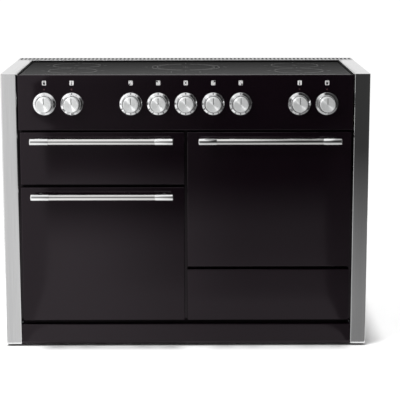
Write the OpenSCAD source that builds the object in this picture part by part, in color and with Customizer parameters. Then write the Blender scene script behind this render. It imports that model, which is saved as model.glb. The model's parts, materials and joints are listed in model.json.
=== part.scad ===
// Induction range: a five-zone glass hob over a pull-out grill, two ovens and a storage drawer.
// Millimetres, +Z up, the fronts face -Y. The origin is on the floor, in the middle of the footprint.

/* [Body] */
// Overall width
body_w = 1210; // [1190:1:1300]
// Height of the steel top strips above the floor
body_h = 920; // [910:1:960]
// Depth from the faces of the fronts to the back
body_d = 600; // [590:1:680]
// Clearance between the body and the floor
foot_gap = 8; // [6:1:20]
// Thickness of the folded sheet
sheet = 1.5; // [1:0.1:2]
// Width of the front posts
post_w = 51; // [46:1:60]
// Radius of the posts' folded edges
fold_r = 3; // [2.5:0.5:4]
// How far the posts' inner lips reach back
lip_d = 60; // [50:1:80]
// Width of the returns folded inwards at the back
rear_return = 24; // [15:1:40]

/* [Hob] */
// How far the top strips reach inwards past the posts
strip_step = 4; // [3:0.5:10]
// Depth of the glass surface below the strips
glass_drop = 3; // [2:0.5:5]
// Thickness of the glass
glass_t = 4; // [4:0.5:6]
// Width of the seal round the glass
seal_w = 5; // [3:0.5:8]
// Front edge of the seal behind the front faces
seal_y = 8; // [6:1:12]
// Depth of the coil tray under the glass
tray_h = 28; // [26:1:36]
// Distance of the side zones from the middle
zone_x = 380; // [360:1:390]
// Distance of the front zones behind the front faces
zone_front = 142; // [130:1:150]
// Distance of the rear zones behind the front faces
zone_rear = 335; // [325:1:350]
// Distance of the middle zone behind the front faces
zone_mid = 272; // [250:1:290]
// Diameter of the side coils
coil_d = 176; // [150:1:185]
// Diameter of the middle coil
coil_mid_d = 220; // [200:1:240]

/* [Vent rail] */
// Depth of the rail at the back of the hob
rail_d = 100; // [80:1:120]
// Thickness of the rail's top
rail_t = 2; // [1.5:0.5:3]
// Number of vent slots
slot_count = 84; // [60:2:90]
// Length of a slot
slot_l = 48; // [30:1:60]
// Width of a slot
slot_w = 7.5; // [5:0.5:9]
// Centre of the end slots inwards of the sides
slot_margin = 10; // [8:1:20]
// Centre line of the slots behind the rail's front edge
slot_in = 58; // [50:1:62]

/* [Fronts] */
// Height of the control panel
panel_h = 183; // [175:1:190]
// Gap at each end of the control panel
panel_side = 3.5; // [2:0.5:6]
// Gap under the control panel
panel_gap = 6; // [5:1:10]
// Height of the grill and storage fronts
small_h = 175; // [172:1:180]
// Thickness of doors and fronts
front_t = 38; // [34:1:44]
// Gap between the posts and the fronts
side_gap = 7.5; // [5:0.5:10]
// Gap between the left and right fronts
mid_gap = 9; // [6:0.5:12]
// Gap between fronts one above the other
row_gap = 9; // [8:0.5:12]
// Gap between the lowest fronts and the plinth
plinth_gap = 14; // [10:1:18]
// Height of the plinth
plinth_h = 68; // [62:1:74]
// Gap at each end of the plinth
plinth_side = 1; // [0.5:0.5:3]
// Radius of the fronts' edges
edge_r = 2.5; // [2.5:0.5:4]
// Gap between closed doors and the frame behind them
frame_gap = 4; // [3.5:0.5:6]

/* [Handles] */
// Overall length of a handle
handle_l = 468; // [400:1:500]
// Diameter of the bar
bar_d = 22; // [18:0.5:23]
// Diameter of the end ferrules
ferrule_d = 24; // [23.5:0.5:30]
// Length of a ferrule
ferrule_l = 60; // [40:1:80]
// Diameter of the stem behind a ferrule
stem_d = 13; // [10:0.5:16]
// Distance of the handle's axis from the front face
handle_off = 48; // [42:1:60]
// Distance of the handle's axis below the front's top edge
handle_drop = 25; // [22:1:40]

/* [Knobs] */
// Diameter of a knob
knob_d = 50.5; // [46:0.5:52]
// How far a knob stands out of the panel
knob_l = 38; // [30:1:44]
// Diameter of a knob's bezel at the panel
bezel_d = 74; // [68:1:80]
// Height of a bezel
bezel_h = 9; // [6:1:12]
// Gap between knob and bezel
bezel_gap = 1.25; // [0.75:0.25:2]
// Distance between neighbouring knobs
knob_pitch = 90; // [82:1:95]
// Distance of the inner oven knobs from the middle
oven_knob_x = 373; // [360:1:380]
// Distance of the knobs below the top strips
knob_drop = 98; // [95:1:105]
// Distance of the indicator lamps below the top strips
lamp_drop = 51; // [48:1:52]
// Diameter of an indicator lens
lens_d = 5; // [4:0.5:6]
// Diameter of a knob's spindle
spindle_d = 6; // [5:0.5:8]
// Width and height of a rotary switch
switch_w = 36; // [30:1:44]
// Depth of a rotary switch
switch_d = 42; // [30:1:50]

/* [Hinges] */
// Distance of the hinge axis behind a door's face
hinge_in = 10; // [10:0.5:13]
// Height of the hinge axis above a door's bottom edge
hinge_up = 10; // [9:0.5:13]
// Distance of a hinge from the door's side edge
hinge_side = 45; // [35:1:80]
// Diameter of a hinge pin
pin_d = 6; // [5:0.5:7]
// Diameter of a hinge eye
eye_d = 13; // [12:0.5:13.5]
// Thickness of a hinge tongue
tongue_t = 5; // [4:0.5:8]

/* [Ovens] */
// Inner width of an oven
cavity_w = 430; // [400:1:440]
// How far a door reaches past the oven's mouth, above and below
door_margin = 52; // [47:1:54]
// Space behind the ovens
rear_space = 100; // [90:1:110]
// Thickness of the insulation
wool_t = 25; // [20:1:26]
// Space between the fan's cover plate and the oven's back
baffle_gap = 40; // [36:1:50]
// Diameter of an oven fan
fan_d = 130; // [110:1:140]
// Diameter of a fan heater ring
ring_d = 172; // [165:1:190]
// Diameter of a heating tube
heater_d = 7; // [6:0.5:8]
// Height of the lower shelf above the oven floor
shelf_low = 100; // [90:1:110]
// Distance of the upper shelf below the oven's ceiling
shelf_drop = 130; // [115:1:145]
// Diameter of a shelf's frame rod
rod_d = 6; // [5:0.5:7]
// Number of wires on a shelf
wire_count = 12; // [8:1:16]

/* [Grill and storage] */
// Inner width of the grill chamber
grill_w = 460; // [450:1:480]
// Inner height of the grill chamber
grill_h = 120; // [115:1:125]
// Height of the chamber's floor above the grill front's bottom edge
grill_up = 27; // [24:1:30]
// Inner width of the storage space
store_w = 500; // [480:1:510]
// Inner height of the storage space
store_h = 146; // [140:1:150]
// Height of the storage floor above the storage front's bottom edge
store_up = 10; // [8:1:14]
// Height of a runner
runner_h = 36; // [32:1:40]
// Width of a runner
runner_w = 12; // [10:0.5:14]
// Height of the grill runners' centre above the chamber's floor
grill_runner_up = 32; // [28:1:34]
// Height of the storage runners' centre above the storage floor
store_runner_up = 50; // [40:1:60]
// Length of the grill runners
grill_runner_l = 400; // [380:1:420]
// Length of the storage runners
store_runner_l = 440; // [420:1:450]
// Depth of the grill pan's dish
pan_h = 26; // [20:1:27]
// Length of the grill pan
pan_l = 345; // [320:1:360]
// Height of the storage box's sides
box_h = 108; // [90:1:120]

/* [Feet] */
// Diameter of a foot
foot_d = 45; // [35:1:55]
// Diameter of a foot's stud
stud_d = 10; // [8:1:12]
// Length of a stud above the base
stud_l = 40; // [36:1:50]
// Distance of the feet from the sides
foot_side = 45; // [40:1:60]
// Distance of the feet from the front lips and from the back
foot_in = 40; // [36:1:60]

/* [Services] */
// Width of the terminal box
terminal_w = 120; // [100:1:140]
// Bore of the cable entry
entry_d = 24; // [20:1:28]
// Distance of the cable entry from the middle
entry_x = 430; // [400:1:460]
// Height of the cable entry
entry_z = 170; // [150:1:200]
// Distance between the two anti-tilt screw holes
bracket_pitch = 300; // [200:10:400]
// Distance of the anti-tilt screw holes below the top strips
bracket_drop = 80; // [60:5:120]
// Diameter of the anti-tilt screw holes
bracket_d = 5.5; // [4:0.5:7]

/* [Fits] */
// Radial running clearance of pins and spindles
running = 0.05; // [0.02:0.01:0.1]
// Clearance between sliding members
slide_gap = 0.3; // [0.2:0.05:0.5]

/* [Hidden] */
$fn = 48;

// How far a cutter runs past the face that it opens
cut = 1;

// Colours as the finishes show
enamel = [0.11, 0.10, 0.11];
steel = [0.76, 0.76, 0.77];
polished = [0.85, 0.85, 0.86];
zinc = [0.62, 0.64, 0.66];
liner_grey = [0.20, 0.21, 0.23];
wool_yellow = [0.80, 0.75, 0.58];
seal_black = [0.05, 0.05, 0.05];

// Planes in depth
reach = handle_off + ferrule_d / 2;
y_front = (reach - body_d) / 2;
y_back = y_front + body_d;
fronts_back = y_front + front_t;
frame_y = fronts_back + frame_gap;
mouth_y = frame_y + sheet;
cavity_back = y_back - rear_space;
baffle_y = cavity_back - baffle_gap;
rail_y = y_back - rail_d;

// Planes in width
half_w = body_w / 2;
lip_x = half_w - post_w;
strip_x = lip_x - strip_step;
panel_x = lip_x - panel_side;
door_w = lip_x - side_gap - mid_gap / 2;
col_x = mid_gap / 2 + door_w / 2;

// Planes in height
glass_z = body_h - glass_drop;
panel_z = glass_z - panel_h;
fronts_z = panel_z - panel_gap;
grill_z = fronts_z - small_h;
plinth_z = foot_gap + plinth_h;
left_z = plinth_z + plinth_gap;
door_h = grill_z - row_gap - left_z;
right_z = fronts_z - door_h;
store_z = right_z - row_gap - small_h;
flange_z = glass_z - glass_t;
tray_z = flange_z - tray_h;
panel_lap = 11;
frame_top = panel_z + panel_lap;

// Insides of the four compartments: the ovens' height, and the heights of the floors
cavity_h = door_h - 2 * door_margin;
left_floor = left_z + door_margin;
right_floor = right_z + door_margin;
grill_floor = grill_z + grill_up;
store_floor = store_z + store_up;

// Hinge
hinge_x = door_w / 2 - hinge_side;
notch_r = eye_d / 2 + 1;
notch_w = tongue_t + 2;
arm_h = 10;
cheek_t = 4;
cheek_h = 30;
plug_t = 3;
rim_d = 20;

// Knobs from left to right, and the ones that have an indicator lamp
oven_knobs = [oven_knob_x, oven_knob_x + knob_pitch];
knob_places = [
  -oven_knobs[1], -oven_knobs[0],
  -2 * knob_pitch, -knob_pitch, 0, knob_pitch, 2 * knob_pitch,
  oven_knobs[0], oven_knobs[1],
];
lamp_places = [-oven_knobs[1], -oven_knobs[0], oven_knobs[0], oven_knobs[1]];
knob_z = body_h - knob_drop;
lamp_z = body_h - lamp_drop;

// Hob zones as [x, distance behind the front faces, coil diameter]
zones = [
  [-zone_x, zone_front, coil_d],
  [-zone_x, zone_rear, coil_d],
  [0, zone_mid, coil_mid_d],
  [zone_x, zone_rear, coil_d],
  [zone_x, zone_front, coil_d],
];

// Parts that no photograph shows, seated on the planes above
flange_w = 12;
rail_skirt = 40;
louvre_up = 60;
louvre_z = foot_gap + louvre_up;
bracket_z = body_h - bracket_drop;
board_x = 300;
board_y = 60;
board_w = 240;
board_l = 180;
board_t = 2;
board_post_h = 10;
board_post_d = 7;
board_post_in = 8;
sink_w = 180;
sink_l = 50;
sink_h = 30;
sink_y = -70;
fin_pitch = 12;
fin_gap = 9;
fin_root = 6;
capacitor_d = 26;
capacitor_h = 28;
capacitor_pitch = 40;
blower_d = 124;
blower_h = 60;
blower_motor_h = 27;
blower_shaft_d = 5;
fan_shaft_d = 8;
fan_motor_d = 70;
oven_lamp_d = 40;
lamp_down = 35;
lamp_in = 80;
lamp_y = baffle_y - lamp_in;
heater_drop = 14;
heater_bend = 30;
grill_loops = [[360, 400], [200, 380]];
oven_loops = [[340, 340], [180, 320]];
gland_d = entry_d + 10;
gland_l = 22;
bore_l = 26;

// Shelves and the rods that carry them
shelf_high = cavity_h - shelf_drop;
ladder_d = 5;
ladder_post_in = 60;
shelf_front = 25;
shelf_rear = 8;
ladder_off = 7.2;
shelf_y0 = mouth_y + shelf_front;
shelf_y1 = baffle_y - shelf_rear;
runner_x = cavity_w / 2 - ladder_off;
shelf_step = 1.8;
shelf_lift = sqrt(pow((ladder_d + rod_d) / 2 + slide_gap, 2) - pow(shelf_step, 2));

// Runners
grill_runner_z = grill_floor + grill_runner_up;
store_runner_z = store_floor + store_runner_up;

// Feet
base_y = y_front + lip_d;
foot_x = half_w - foot_side;
foot_ys = [base_y + foot_in, y_back - foot_in];

// A box between two opposite corners
module span(a, b) {
  translate(a)
    cube(b - a);
}

// A cylinder that starts at a point and runs along +X
module rod_x(at, d, l) {
  translate(at)
    rotate([0, 90, 0])
      cylinder(d = d, h = l);
}

// A cylinder that starts at a point and runs along +Y
module rod_y(at, d, l) {
  translate(at)
    rotate([-90, 0, 0])
      cylinder(d = d, h = l);
}

function arc(cx, cy, r, a0, a1, n) =
  [for (i = [0:n]) let (a = a0 + (a1 - a0) * i / n) [cx + r * cos(a), cy + r * sin(a)]];

// Outline of width w and depth t whose two corners at depth 0 are round
function round_front(w, t, r) = concat(
  [[w / 2, t], [-w / 2, t]],
  arc(-w / 2 + r, r, r, 180, 270, 4),
  arc(w / 2 - r, r, r, 270, 360, 4)
);

// A slab in the XZ plane whose four edges at y = 0 are round
module rounded_slab(w, h, t, r) {
  intersection() {
    linear_extrude(h)
      polygon(round_front(w, t, r));
    translate([-w / 2, 0, h / 2])
      rotate([90, 0, 90])
        linear_extrude(w)
          polygon([for (p = round_front(h, t, r)) [p[1], p[0]]]);
  }
}

// The left side panel: outer wall, front post with its inner lip, and the strip beside the glass
module side_shell() {
  wall_l = body_d - sheet;
  difference() {
    translate([-half_w + post_w / 2, y_front, foot_gap])
      linear_extrude(body_h - foot_gap)
        polygon(round_front(post_w, wall_l, fold_r));
    translate([-half_w + post_w / 2, y_front + sheet, foot_gap - cut])
      linear_extrude(body_h - foot_gap + 2 * cut)
        polygon(round_front(post_w - 2 * sheet, wall_l, fold_r - sheet / 2));
    span([-lip_x - sheet - cut, base_y, foot_gap - cut], [-lip_x + cut, y_back, body_h + cut]);
    span([-half_w - cut, rail_y, body_h - rail_t], [-lip_x + cut, y_back, body_h + cut]);
  }
  span([-half_w + sheet, y_front + sheet, body_h - sheet], [-strip_x, rail_y, body_h]);
  span([-strip_x - sheet, y_front + seal_y, flange_z], [-strip_x, rail_y, body_h]);
  span([-half_w + sheet, y_back - 2 * sheet, foot_gap],
    [-half_w + rear_return, y_back - sheet, body_h - rail_t]);
}

module side_panel_left() {
  color(steel)
    side_shell();
}

module side_panel_right() {
  color(steel)
    mirror([1, 0, 0])
      side_shell();
}

// The tray that closes the bottom and takes the four feet
module base_frame() {
  rear = y_back - 2 * sheet;
  boss_h = stud_l + 4;
  boss_wall = 9;
  color(zinc)
    difference() {
      union() {
        span([-half_w + sheet, base_y, foot_gap], [half_w - sheet, rear, foot_gap + sheet]);
        span([-lip_x, frame_y, foot_gap], [lip_x, base_y, foot_gap + sheet]);
        span([-lip_x, frame_y, foot_gap], [lip_x, mouth_y, plinth_z]);
        span([-half_w + sheet, rear - sheet, foot_gap], [half_w - sheet, rear, plinth_z]);
        for (x = [-half_w + sheet, -col_x, col_x, half_w - 2 * sheet])
          span([x, base_y, foot_gap], [x + sheet, rear, plinth_z]);
        for (x = [-foot_x, foot_x], y = foot_ys)
          translate([x, y, foot_gap])
            cylinder(d = stud_d + 2 * boss_wall, h = boss_h);
      }
      for (x = [-foot_x, foot_x], y = foot_ys)
        translate([x, y, foot_gap - cut])
          cylinder(d = stud_d + 2 * running, h = boss_h + 2 * cut);
    }
}

module back_panel() {
  louvre_w = 150;
  louvre_h = 5;
  louvre_pitch = 14;
  color(zinc)
    difference() {
      span([-half_w, y_back - sheet, foot_gap], [half_w, y_back, body_h - rail_skirt]);
      for (x = [-col_x, col_x], i = [0:7])
        span([x - louvre_w / 2, y_back - sheet - cut, louvre_z + i * louvre_pitch],
          [x + louvre_w / 2, y_back + cut, louvre_z + i * louvre_pitch + louvre_h]);
      for (s = [-1, 1])
        rod_y([s * bracket_pitch / 2, y_back - sheet - cut, bracket_z], bracket_d, sheet + 2 * cut);
      rod_y([entry_x, y_back - sheet - cut, entry_z], gland_d + 2 * slide_gap, sheet + 2 * cut);
    }
}

// A hinge tongue that reaches forward from the frame, with the eye for a door's pin
module hinge_tongue(x, z) {
  y = y_front + hinge_in;
  difference() {
    union() {
      rod_x([x - tongue_t / 2, y, z], eye_d, tongue_t);
      span([x - tongue_t / 2, y, z - arm_h / 2], [x + tongue_t / 2, mouth_y, z + arm_h / 2]);
    }
    rod_x([x - tongue_t, y, z], pin_d + 2 * running, 2 * tongue_t);
  }
}

// A window through the front frame
module window(x, z, w, h) {
  span([x - w / 2, frame_y - cut, z], [x + w / 2, mouth_y + cut, z + h]);
}

module front_frame() {
  color(enamel) {
    difference() {
      span([-lip_x, frame_y, plinth_z], [lip_x, mouth_y + rim_d, frame_top]);
      span([-lip_x + sheet, mouth_y, plinth_z + sheet],
        [lip_x - sheet, mouth_y + rim_d + cut, frame_top - sheet]);
      window(-col_x, left_floor, cavity_w, cavity_h);
      window(col_x, right_floor, cavity_w, cavity_h);
      window(-col_x, grill_floor, grill_w, grill_h);
      window(col_x, store_floor, store_w, store_h);
    }
    for (s = [-1, 1]) {
      hinge_tongue(-col_x + s * hinge_x, left_z + hinge_up);
      hinge_tongue(col_x + s * hinge_x, right_z + hinge_up);
    }
  }
}

module control_panel() {
  depth = frame_y - y_front;
  hole_d = spindle_d + 4;
  color(enamel)
    difference() {
      translate([0, y_front, panel_z])
        difference() {
          rounded_slab(2 * panel_x, panel_h, depth, edge_r);
          span([-panel_x + sheet, sheet, sheet], [panel_x - sheet, depth + cut, panel_h - sheet]);
          span([-panel_x - cut, seal_y, panel_h - glass_t - 8], [panel_x + cut, depth + cut, panel_h + cut]);
        }
      for (x = knob_places)
        rod_y([x, y_front - cut, knob_z], hole_d, sheet + 2 * cut);
      for (x = lamp_places)
        rod_y([x, y_front - cut, lamp_z], lens_d + 2 * slide_gap, sheet + 2 * cut);
    }
}

module plinth() {
  w = 2 * (lip_x - plinth_side);
  h = plinth_z - foot_gap;
  depth = frame_y - y_front;
  bottom_return = 20;
  color(enamel)
    translate([0, y_front, foot_gap])
      difference() {
        rounded_slab(w, h, depth, edge_r);
        span([-w / 2 + sheet, sheet, sheet], [w / 2 - sheet, depth + cut, h - sheet]);
        span([-w / 2 - cut, bottom_return, -cut], [w / 2 + cut, depth + cut, h - sheet]);
      }
}

module vent_rail() {
  pitch = (body_w - 2 * slot_margin) / (slot_count - 1);
  front_skirt = 20;
  color(steel) {
    difference() {
      span([-half_w, rail_y, body_h - rail_t], [half_w, y_back, body_h]);
      for (i = [0:slot_count - 1])
        translate([-half_w + slot_margin + i * pitch - slot_w / 2, rail_y + slot_in - slot_l / 2, 0])
          span([0, 0, body_h - rail_t - cut], [slot_w, slot_l, body_h + cut]);
    }
    span([-half_w + sheet, rail_y, body_h - front_skirt], [half_w - sheet, rail_y + sheet, body_h - rail_t]);
    span([-half_w, y_back - sheet, body_h - rail_skirt], [half_w, y_back, body_h - rail_t]);
  }
}

// The space that the glass fills, grown by a margin in height
module glass_space(over) {
  span([-strip_x + seal_w, y_front + seal_y + seal_w, flange_z - over],
    [strip_x - seal_w, rail_y - seal_w, glass_z + over]);
}

module hob_glass() {
  color([0.16, 0.16, 0.17])
    glass_space(0);
}

module glass_seal() {
  color(seal_black)
    difference() {
      span([-strip_x, y_front + seal_y, flange_z], [strip_x, rail_y, glass_z]);
      glass_space(cut);
    }
}

// The tray under the glass, hung by its flange below the top strips
module coil_tray() {
  tray_x = strip_x - 10;
  tray_y0 = y_front + seal_y + seal_w + 6;
  tray_y1 = rail_y - 12;
  ear_w = 30;
  ear_end = 10;
  color(zinc)
    difference() {
      union() {
        span([-strip_x, y_front + seal_y, flange_z - sheet], [strip_x, rail_y, flange_z]);
        span([-strip_x - ear_w, base_y + ear_end, flange_z - sheet],
          [strip_x + ear_w, rail_y - ear_end, flange_z]);
        span([-tray_x, tray_y0, tray_z], [tray_x, tray_y1, flange_z]);
      }
      span([-tray_x + sheet, tray_y0 + sheet, tray_z + sheet],
        [tray_x - sheet, tray_y1 - sheet, flange_z + cut]);
    }
}

module induction_coils() {
  air = 4;
  stack = tray_h - sheet - air;
  winding = 10;
  color([0.72, 0.40, 0.22])
    for (zone = zones)
      translate([zone[0], y_front + zone[1], tray_z + sheet])
        rotate_extrude()
          polygon([
            [15, 0], [zone[2] / 2 - 25, 0], [zone[2] / 2 - 25, stack - winding],
            [zone[2] / 2, stack - winding], [zone[2] / 2, stack], [15, stack],
          ]);
}

// One power board under the coil tray, with its heat sink and capacitors
module power_board() {
  under = -board_post_h - board_t;
  sink_base = 4;
  translate([-board_w / 2, -board_l / 2, under])
    cube([board_w, board_l, board_t]);
  for (x = [-1, 1], y = [-1, 1])
    translate([x * (board_w / 2 - board_post_in), y * (board_l / 2 - board_post_in), under + cut])
      cylinder(d = board_post_d, h = -under - cut);
  translate([-sink_w / 2, sink_y, under - sink_h])
    difference() {
      cube([sink_w, sink_l, sink_h + cut]);
      for (i = [0:2])
        translate([-cut, fin_root + i * fin_pitch, -cut])
          cube([sink_w + 2 * cut, fin_gap, sink_h - sink_base]);
    }
  for (i = [-1:1])
    translate([i * capacitor_pitch, capacitor_pitch, under - capacitor_h])
      cylinder(d = capacitor_d, h = capacitor_h + cut);
}

module power_boards() {
  color([0.10, 0.35, 0.20])
    for (s = [-1, 1])
      translate([s * board_x, board_y, tray_z])
        power_board();
}

// The round casing of the cooling blower, with its motor, hung under the coil tray
module blower_housing() {
  wall = 2;
  motor_d = 46;
  cap = 6;
  mouth_w = 40;
  mouth_l = 14;
  color(zinc)
    translate([0, board_y, tray_z])
      difference() {
        translate([0, 0, -blower_h])
          cylinder(d = blower_d, h = blower_h);
        difference() {
          translate([0, 0, -blower_h + wall])
            cylinder(d = blower_d - 2 * wall, h = blower_h - 2 * wall);
          translate([0, 0, -blower_motor_h])
            cylinder(d = motor_d, h = blower_motor_h);
        }
        translate([0, 0, -blower_h - cut])
          cylinder(d = blower_d * 0.6, h = wall + 2 * cut);
        translate([0, 0, -blower_motor_h - cut])
          cylinder(d = blower_shaft_d + 2 * running, h = blower_motor_h - cap);
        span([-mouth_w / 2, -blower_d / 2 - cut, -blower_h + cap],
          [mouth_w / 2, -blower_d / 2 + mouth_l, -cap]);
      }
}

module blower_wheel() {
  wheel_d = blower_d - 24;
  blade_l = 16;
  blade_t = 1.2;
  disc_t = 2;
  hub_d = 18;
  bottom = -blower_h + 7;
  top = -blower_motor_h - 4;
  color(liner_grey)
    translate([0, board_y, tray_z]) {
      translate([0, 0, top - disc_t])
        cylinder(d = wheel_d, h = disc_t);
      translate([0, 0, bottom])
        cylinder(d = hub_d, h = top - bottom);
      translate([0, 0, top - cut])
        cylinder(d = blower_shaft_d, h = blower_motor_h - 6);
      for (i = [0:11])
        rotate([0, 0, 30 * i])
          span([wheel_d / 2 - blade_l, -blade_t / 2, bottom], [wheel_d / 2 - 1, blade_t / 2, top - 1]);
    }
}

// An open-fronted chamber of sheet with a flange round its mouth, seen from its lower middle
module chamber(w, h) {
  back = cavity_back - mouth_y;
  difference() {
    union() {
      span([-w / 2 - sheet, 0, -sheet], [w / 2 + sheet, back + sheet, h + sheet]);
      span([-w / 2 - flange_w, 0, -flange_w], [w / 2 + flange_w, sheet, h + flange_w]);
    }
    span([-w / 2, -cut, 0], [w / 2, back, h]);
  }
}

module grill_chamber() {
  color(liner_grey)
    translate([-col_x, mouth_y, grill_floor])
      chamber(grill_w, grill_h);
}

// The left oven's cavity, with its holes for the fan's shaft and the lamp
module oven_cavity(floor_z) {
  color(liner_grey)
    difference() {
      translate([-col_x, mouth_y, floor_z])
        chamber(cavity_w, cavity_h);
      rod_y([-col_x, cavity_back - cut, floor_z + cavity_h / 2], fan_shaft_d + 4, sheet + 2 * cut);
      rod_x([-col_x + cavity_w / 2 - cut, lamp_y, floor_z + cavity_h - lamp_down],
        oven_lamp_d, sheet + 2 * cut);
    }
}

module oven_cavity_left() {
  oven_cavity(left_floor);
}

module oven_cavity_right() {
  mirror([1, 0, 0])
    oven_cavity(right_floor);
}

module drawer_housing() {
  color(zinc)
    translate([col_x, mouth_y, store_floor])
      chamber(store_w, store_h);
}

// Mineral wool round the left oven
module wool(floor_z) {
  out = sheet + wool_t;
  difference() {
    span([-col_x - cavity_w / 2 - out, mouth_y + sheet, floor_z - out],
      [-col_x + cavity_w / 2 + out, cavity_back + out, floor_z + cavity_h + out]);
    span([-col_x - cavity_w / 2 - sheet, mouth_y, floor_z - sheet],
      [-col_x + cavity_w / 2 + sheet, cavity_back + sheet, floor_z + cavity_h + sheet]);
    rod_y([-col_x, cavity_back, floor_z + cavity_h / 2], fan_motor_d + 4, out + cut);
    rod_x([-col_x + cavity_w / 2, lamp_y, floor_z + cavity_h - lamp_down],
      oven_lamp_d + 8 + 2 * slide_gap, out + cut);
  }
}

module oven_insulation() {
  color(wool_yellow) {
    wool(left_floor);
    mirror([1, 0, 0])
      wool(right_floor);
  }
}

// A U-shaped heating tube in the XY plane; its legs end at y = 0
module hairpin(w, l) {
  bend = heater_bend;
  for (s = [-1, 1]) {
    rod_y([s * w / 2, -l + bend, 0], heater_d, l - bend);
    translate([s * (w / 2 - bend), -l + bend, 0])
      rotate([0, 0, s > 0 ? -90 : 180])
        rotate_extrude(angle = 90)
          translate([bend, 0])
            circle(d = heater_d);
  }
  rod_x([-w / 2 + bend, -l, 0], heater_d, w - 2 * bend);
}

// The round heating tube behind a fan's cover plate, with its two legs
module ring_heater(x, z) {
  leg_x = 12;
  leg_d = heater_d - 1;
  y = baffle_y + baffle_gap / 2;
  translate([x, y, z])
    rotate([90, 0, 0])
      rotate_extrude()
        translate([ring_d / 2, 0])
          circle(d = heater_d);
  for (s = [-1, 1])
    rod_y([x + s * leg_x, y, z + sqrt(pow(ring_d / 2, 2) - pow(leg_x, 2))], leg_d, cavity_back - y);
}

module heating_elements() {
  color([0.45, 0.44, 0.44]) {
    for (loop = grill_loops)
      translate([-col_x, cavity_back, grill_floor + grill_h - heater_drop])
        hairpin(loop[0], loop[1]);
    for (loop = oven_loops)
      translate([-col_x, baffle_y, left_floor + cavity_h - heater_drop])
        hairpin(loop[0], loop[1]);
    ring_heater(-col_x, left_floor + cavity_h / 2);
    ring_heater(col_x, right_floor + cavity_h / 2);
  }
}

// The perforated plate in front of a fan, on four posts; the origin is the oven's lower middle
module fan_baffle() {
  edge = 3;
  hole_d = 10;
  hole_pitch = 18;
  slit_w = 6;
  slit_h = 180;
  slit_pitch = 12;
  slit_side = 65;
  post_d = 10;
  post_in = 45;
  post_side = 85;
  difference() {
    span([-cavity_w / 2 + edge, baffle_y, edge], [cavity_w / 2 - edge, baffle_y + sheet, cavity_h - edge]);
    for (ring = [0:2], i = [0:max(0, 6 * ring - 1)])
      let (r = hole_pitch * ring, a = 60 * i / max(1, ring))
        rod_y([r * cos(a), baffle_y - cut, cavity_h / 2 + r * sin(a)], hole_d, sheet + 2 * cut);
    for (s = [-1, 1], i = [0:3])
      let (x = s * (cavity_w / 2 - slit_side + slit_pitch * i))
        span([x - slit_w / 2, baffle_y - cut, cavity_h / 2 - slit_h / 2],
          [x + slit_w / 2, baffle_y + sheet + cut, cavity_h / 2 + slit_h / 2]);
  }
  for (s = [-1, 1], z = [post_in, cavity_h - post_in])
    rod_y([s * (cavity_w / 2 - post_side), baffle_y + sheet, z], post_d, baffle_gap - sheet);
}

module fan_baffles() {
  color(liner_grey) {
    translate([-col_x, 0, left_floor])
      fan_baffle();
    translate([col_x, 0, right_floor])
      fan_baffle();
  }
}

module fan_motors() {
  motor_l = 54;
  color(zinc)
    for (at = [[-col_x, left_floor], [col_x, right_floor]])
      difference() {
        rod_y([at[0], cavity_back + sheet, at[1] + cavity_h / 2], fan_motor_d, motor_l);
        rod_y([at[0], cavity_back, at[1] + cavity_h / 2], fan_shaft_d + 2 * running, motor_l - 6);
      }
}

// The wheel of an oven's fan on its shaft; the origin is the oven's lower middle
module oven_fan() {
  hub_d = 26;
  blade_t = 1.2;
  blade_gap = 8;
  shaft_in = 38;
  blade_back = cavity_back - blade_gap;
  blade_front = baffle_y + sheet + blade_gap;
  color([0.55, 0.56, 0.58])
    translate([0, 0, cavity_h / 2]) {
      rod_y([0, blade_back - sheet, 0], fan_d, sheet);
      rod_y([0, blade_front, 0], hub_d, blade_back - blade_front);
      rod_y([0, blade_back - cut, 0], fan_shaft_d, blade_gap + sheet + shaft_in);
      for (i = [0:7])
        rotate([0, 45 * i, 0])
          span([hub_d / 2 - cut, blade_front, -blade_t / 2],
            [fan_d / 2 - 1, blade_back - sheet / 2, blade_t / 2]);
    }
}

module oven_fan_left() {
  translate([-col_x, 0, left_floor])
    oven_fan();
}

module oven_fan_right() {
  translate([col_x, 0, right_floor])
    oven_fan();
}

// The rods on an oven's right wall that carry the shelves; the origin is the oven's lower middle
module ladder() {
  post_x = cavity_w / 2 - ladder_d / 2 - 0.2;
  post_z = 30;
  pin_in = 20;
  post_top = shelf_high + 70;
  for (y = [shelf_y0 + ladder_post_in, shelf_y1 - ladder_post_in]) {
    translate([post_x, y, post_z])
      cylinder(d = ladder_d, h = post_top - post_z);
    for (z = [post_z + pin_in, post_top - 2 * pin_in])
      rod_x([post_x, y, z], ladder_d - 1, cavity_w / 2 - post_x);
  }
  for (z = [shelf_low, (shelf_low + shelf_high) / 2, shelf_high])
    rod_y([runner_x, shelf_y0, z - shelf_lift], ladder_d, shelf_y1 - shelf_y0);
}

// A wire shelf; its frame rods lie at z = 0
module wire_shelf() {
  w = 2 * (runner_x - shelf_step);
  l = shelf_y1 - shelf_y0;
  wire_d = 3;
  for (s = [-1, 1])
    rod_y([s * w / 2, shelf_y0, 0], rod_d, l);
  for (y = [shelf_y0 + rod_d, (shelf_y0 + shelf_y1) / 2, shelf_y1 - rod_d])
    rod_x([-w / 2, y, 0], rod_d - 1, w);
  for (i = [1:wire_count])
    rod_y([-w / 2 + i * w / (wire_count + 1), shelf_y0 + 3, rod_d / 2], wire_d, l - 6);
}

module oven_shelves() {
  color(steel)
    for (at = [[-col_x, left_floor], [col_x, right_floor]])
      translate([at[0], 0, at[1]]) {
        ladder();
        mirror([1, 0, 0])
          ladder();
        for (z = [shelf_low, shelf_high])
          translate([0, 0, z])
            wire_shelf();
      }
}

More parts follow.
